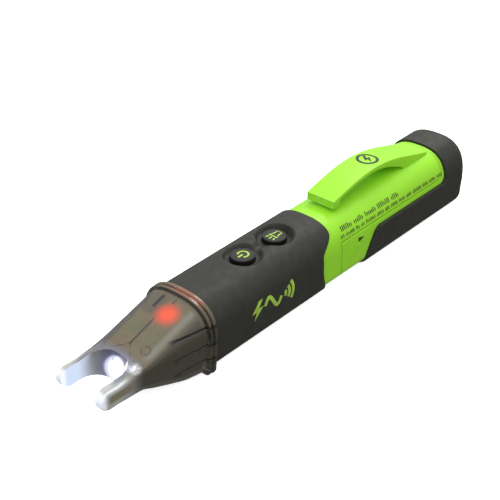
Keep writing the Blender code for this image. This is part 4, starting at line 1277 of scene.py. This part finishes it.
def make_button_icons():
    for name, icon in (("power", power_icon), ("light", light_icon)):
        mesh = print_plates(icon(BUTTONS[name]), 0.14, 0.0)
        mesh.transform(Matrix.Translation((0, 0, CAP_TOP - 0.03)))
        piece(f"{name}_icon", mesh, LIME, f"{name}_button")


# Buttons ----------------------------------------------------------------------------------------
def make_buttons():
    """Caps with a faintly hollow top, a rounded edge and a flange that holds them in the housing."""
    round_over = 0.35
    flange_radius, flange_height = 4.3, 0.8
    for name, station in BUTTONS.items():
        low, high = span(f"{name}_button_cap")
        tall = high.z - low.z
        edge = [(CAP_RADIUS - round_over + round_over * math.sin(a),
                 tall - round_over + round_over * math.cos(a)) for a in np.linspace(0, math.pi / 2, 8)]
        profile = [(0.0, tall - 0.12), (1.8, tall - 0.07)] + edge + [(CAP_RADIUS, flange_height)]
        profile += [(flange_radius, flange_height), (flange_radius, 0.0), (0.0, 0.0)]
        cap = turned(profile, (station, 0, low.z), sides=72)
        piece(f"{name}_cap", cap, BUTTON, f"{name}_button", [f"{name}_button_cap"])


# Lamps ------------------------------------------------------------------------------------------
def lamp_profile(length):
    """A lamp's domed body on its rim."""
    radius, rim = LAMP_RADIUS, LAMP_RADIUS + 0.4
    dome = [(radius * math.sin(a), length - radius + radius * math.cos(a))
            for a in np.linspace(0, math.pi / 2, 14)]
    return dome + [(radius, 1.0), (rim, 1.0), (rim, 0.0), (0.0, 0.0)]


def make_lamps():
    lens = turned(lamp_profile(FLASH_HIGH.x - FLASH_LOW.x), (FLASH_HIGH.x, 0, FLASH_DOME[2]), "-X", 48)
    piece("flashlight_lens", lens, WHITE_LAMP, "housing", ["flashlight_led"])
    lens = turned(lamp_profile(LAMP_HIGH.z - LAMP_LOW.z), (LAMP_DOME[0], 0, LAMP_LOW.z), "Z", 48)
    piece("indicator_lens", lens, RED_LAMP, "housing", ["indicator_led"])


# CAD nodes that keep their shape ----------------------------------------------------------------
NODE_MATERIALS = [
    (BLACK, "amplifier_chip battery_tray buzzer controller_chip led_holder led_resistor light_switch "
            "power_switch"),
    (WHITE, "light_switch_plunger power_switch_plunger"),
    (TINNED, "battery_bridge contact_plate_left contact_plate_right led_lead_left led_lead_right"),
    (STEEL, "battery_spring_front battery_spring_rear board_screw_front board_screw_rear"),
    (COPPER, "sensor_plate_left sensor_plate_right"),
    (WRAP, "battery_left battery_right"),
    (BOARD, "circuit_board"),
    (TAN, "filter_capacitor"),
    (RED_WIRE, "battery_lead_red"),
    (BLACK_WIRE, "battery_lead_black"),
]


def dress_nodes():
    for material, names in NODE_MATERIALS:
        for name in names.split():
            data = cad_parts[name].data
            data.materials.clear()
            data.materials.append(material)


# Studio -----------------------------------------------------------------------------------------
def make_floor():
    """A pale floor that doesn't light the object from below, so its lower sides stay dark."""
    shape = bmesh.new()
    bmesh.ops.create_circle(shape, cap_ends=True, segments=96, radius=4.0)
    floor = show("floor", mesh_of(shape, "floor"))
    floor.data.materials.append(floor_paint())
    floor.visible_diffuse = False
    floor.visible_glossy = False


DOME = [                      # brightness added between two heights on the dome
    (-0.25, 0.30, 0.22, 0.90),
    (0.30, 1.00, 0.00, 0.72),
]


def make_world():
    """A studio dome that is bright overhead and dim below; the camera sees it plain white."""
    world = bpy.data.worlds.new("studio")
    bpy.context.scene.world = world
    world.use_nodes = True
    nodes, links = world.node_tree.nodes, world.node_tree.links
    split = nodes.new("ShaderNodeSeparateXYZ")
    links.new(nodes.new("ShaderNodeTexCoord").outputs["Generated"], split.inputs["Vector"])
    total = nodes.new("ShaderNodeLightPath").outputs["Is Camera Ray"]
    operation = "MAXIMUM"
    for low, high, dim, bright in DOME:
        rise = nodes.new("ShaderNodeMapRange")
        links.new(split.outputs["Z"], rise.inputs["Value"])
        for name, value in zip(RAMP_INPUTS, (low, high, dim, bright)):
            rise.inputs[name].default_value = value
        step = nodes.new("ShaderNodeMath")
        step.operation = operation
        links.new(total, step.inputs[0])
        links.new(rise.outputs["Result"], step.inputs[1])
        total, operation = step.outputs["Value"], "ADD"
    nodes["Background"].inputs["Color"].default_value = (0.98, 0.99, 1.0, 1.0)
    links.new(total, nodes["Background"].inputs["Strength"])


def make_key_light():
    """One large soft light, high behind the tail."""
    light = bpy.data.lights.new("key", "AREA")
    light.shape = "DISK"
    light.size = 0.34
    light.energy = 1.7
    place = Vector((0.64, 0.22, 0.75)).normalized() * 0.8
    thing = show("key", light)
    thing.location = place
    thing.rotation_euler = place.to_track_quat("Z", "Y").to_euler()


CAMERA_PLACE = (-0.2242, -0.1825, 0.1944)
CAMERA_DIP, CAMERA_TURN = 32.03, -48.78     # degrees below level, and about Z


def make_camera():
    camera = bpy.data.cameras.new("camera")
    camera.lens = 81.9
    camera.sensor_width = 36.0
    thing = show("camera", camera)
    thing.location = CAMERA_PLACE
    thing.rotation_euler = (math.radians(90 - CAMERA_DIP), 0.0, math.radians(CAMERA_TURN))
    bpy.context.scene.camera = thing
    bpy.context.scene.view_settings.view_transform = "Standard"


make_camera()
make_world()
make_floor()
make_key_light()
make_nose()
make_sleeve()
make_housing()
make_door()
make_skin()
make_clip()
make_buttons()
make_button_icons()
make_sleeve_graphic()
make_small_print()
make_clip_mark()
make_door_relief()
make_lamps()
dress_nodes()
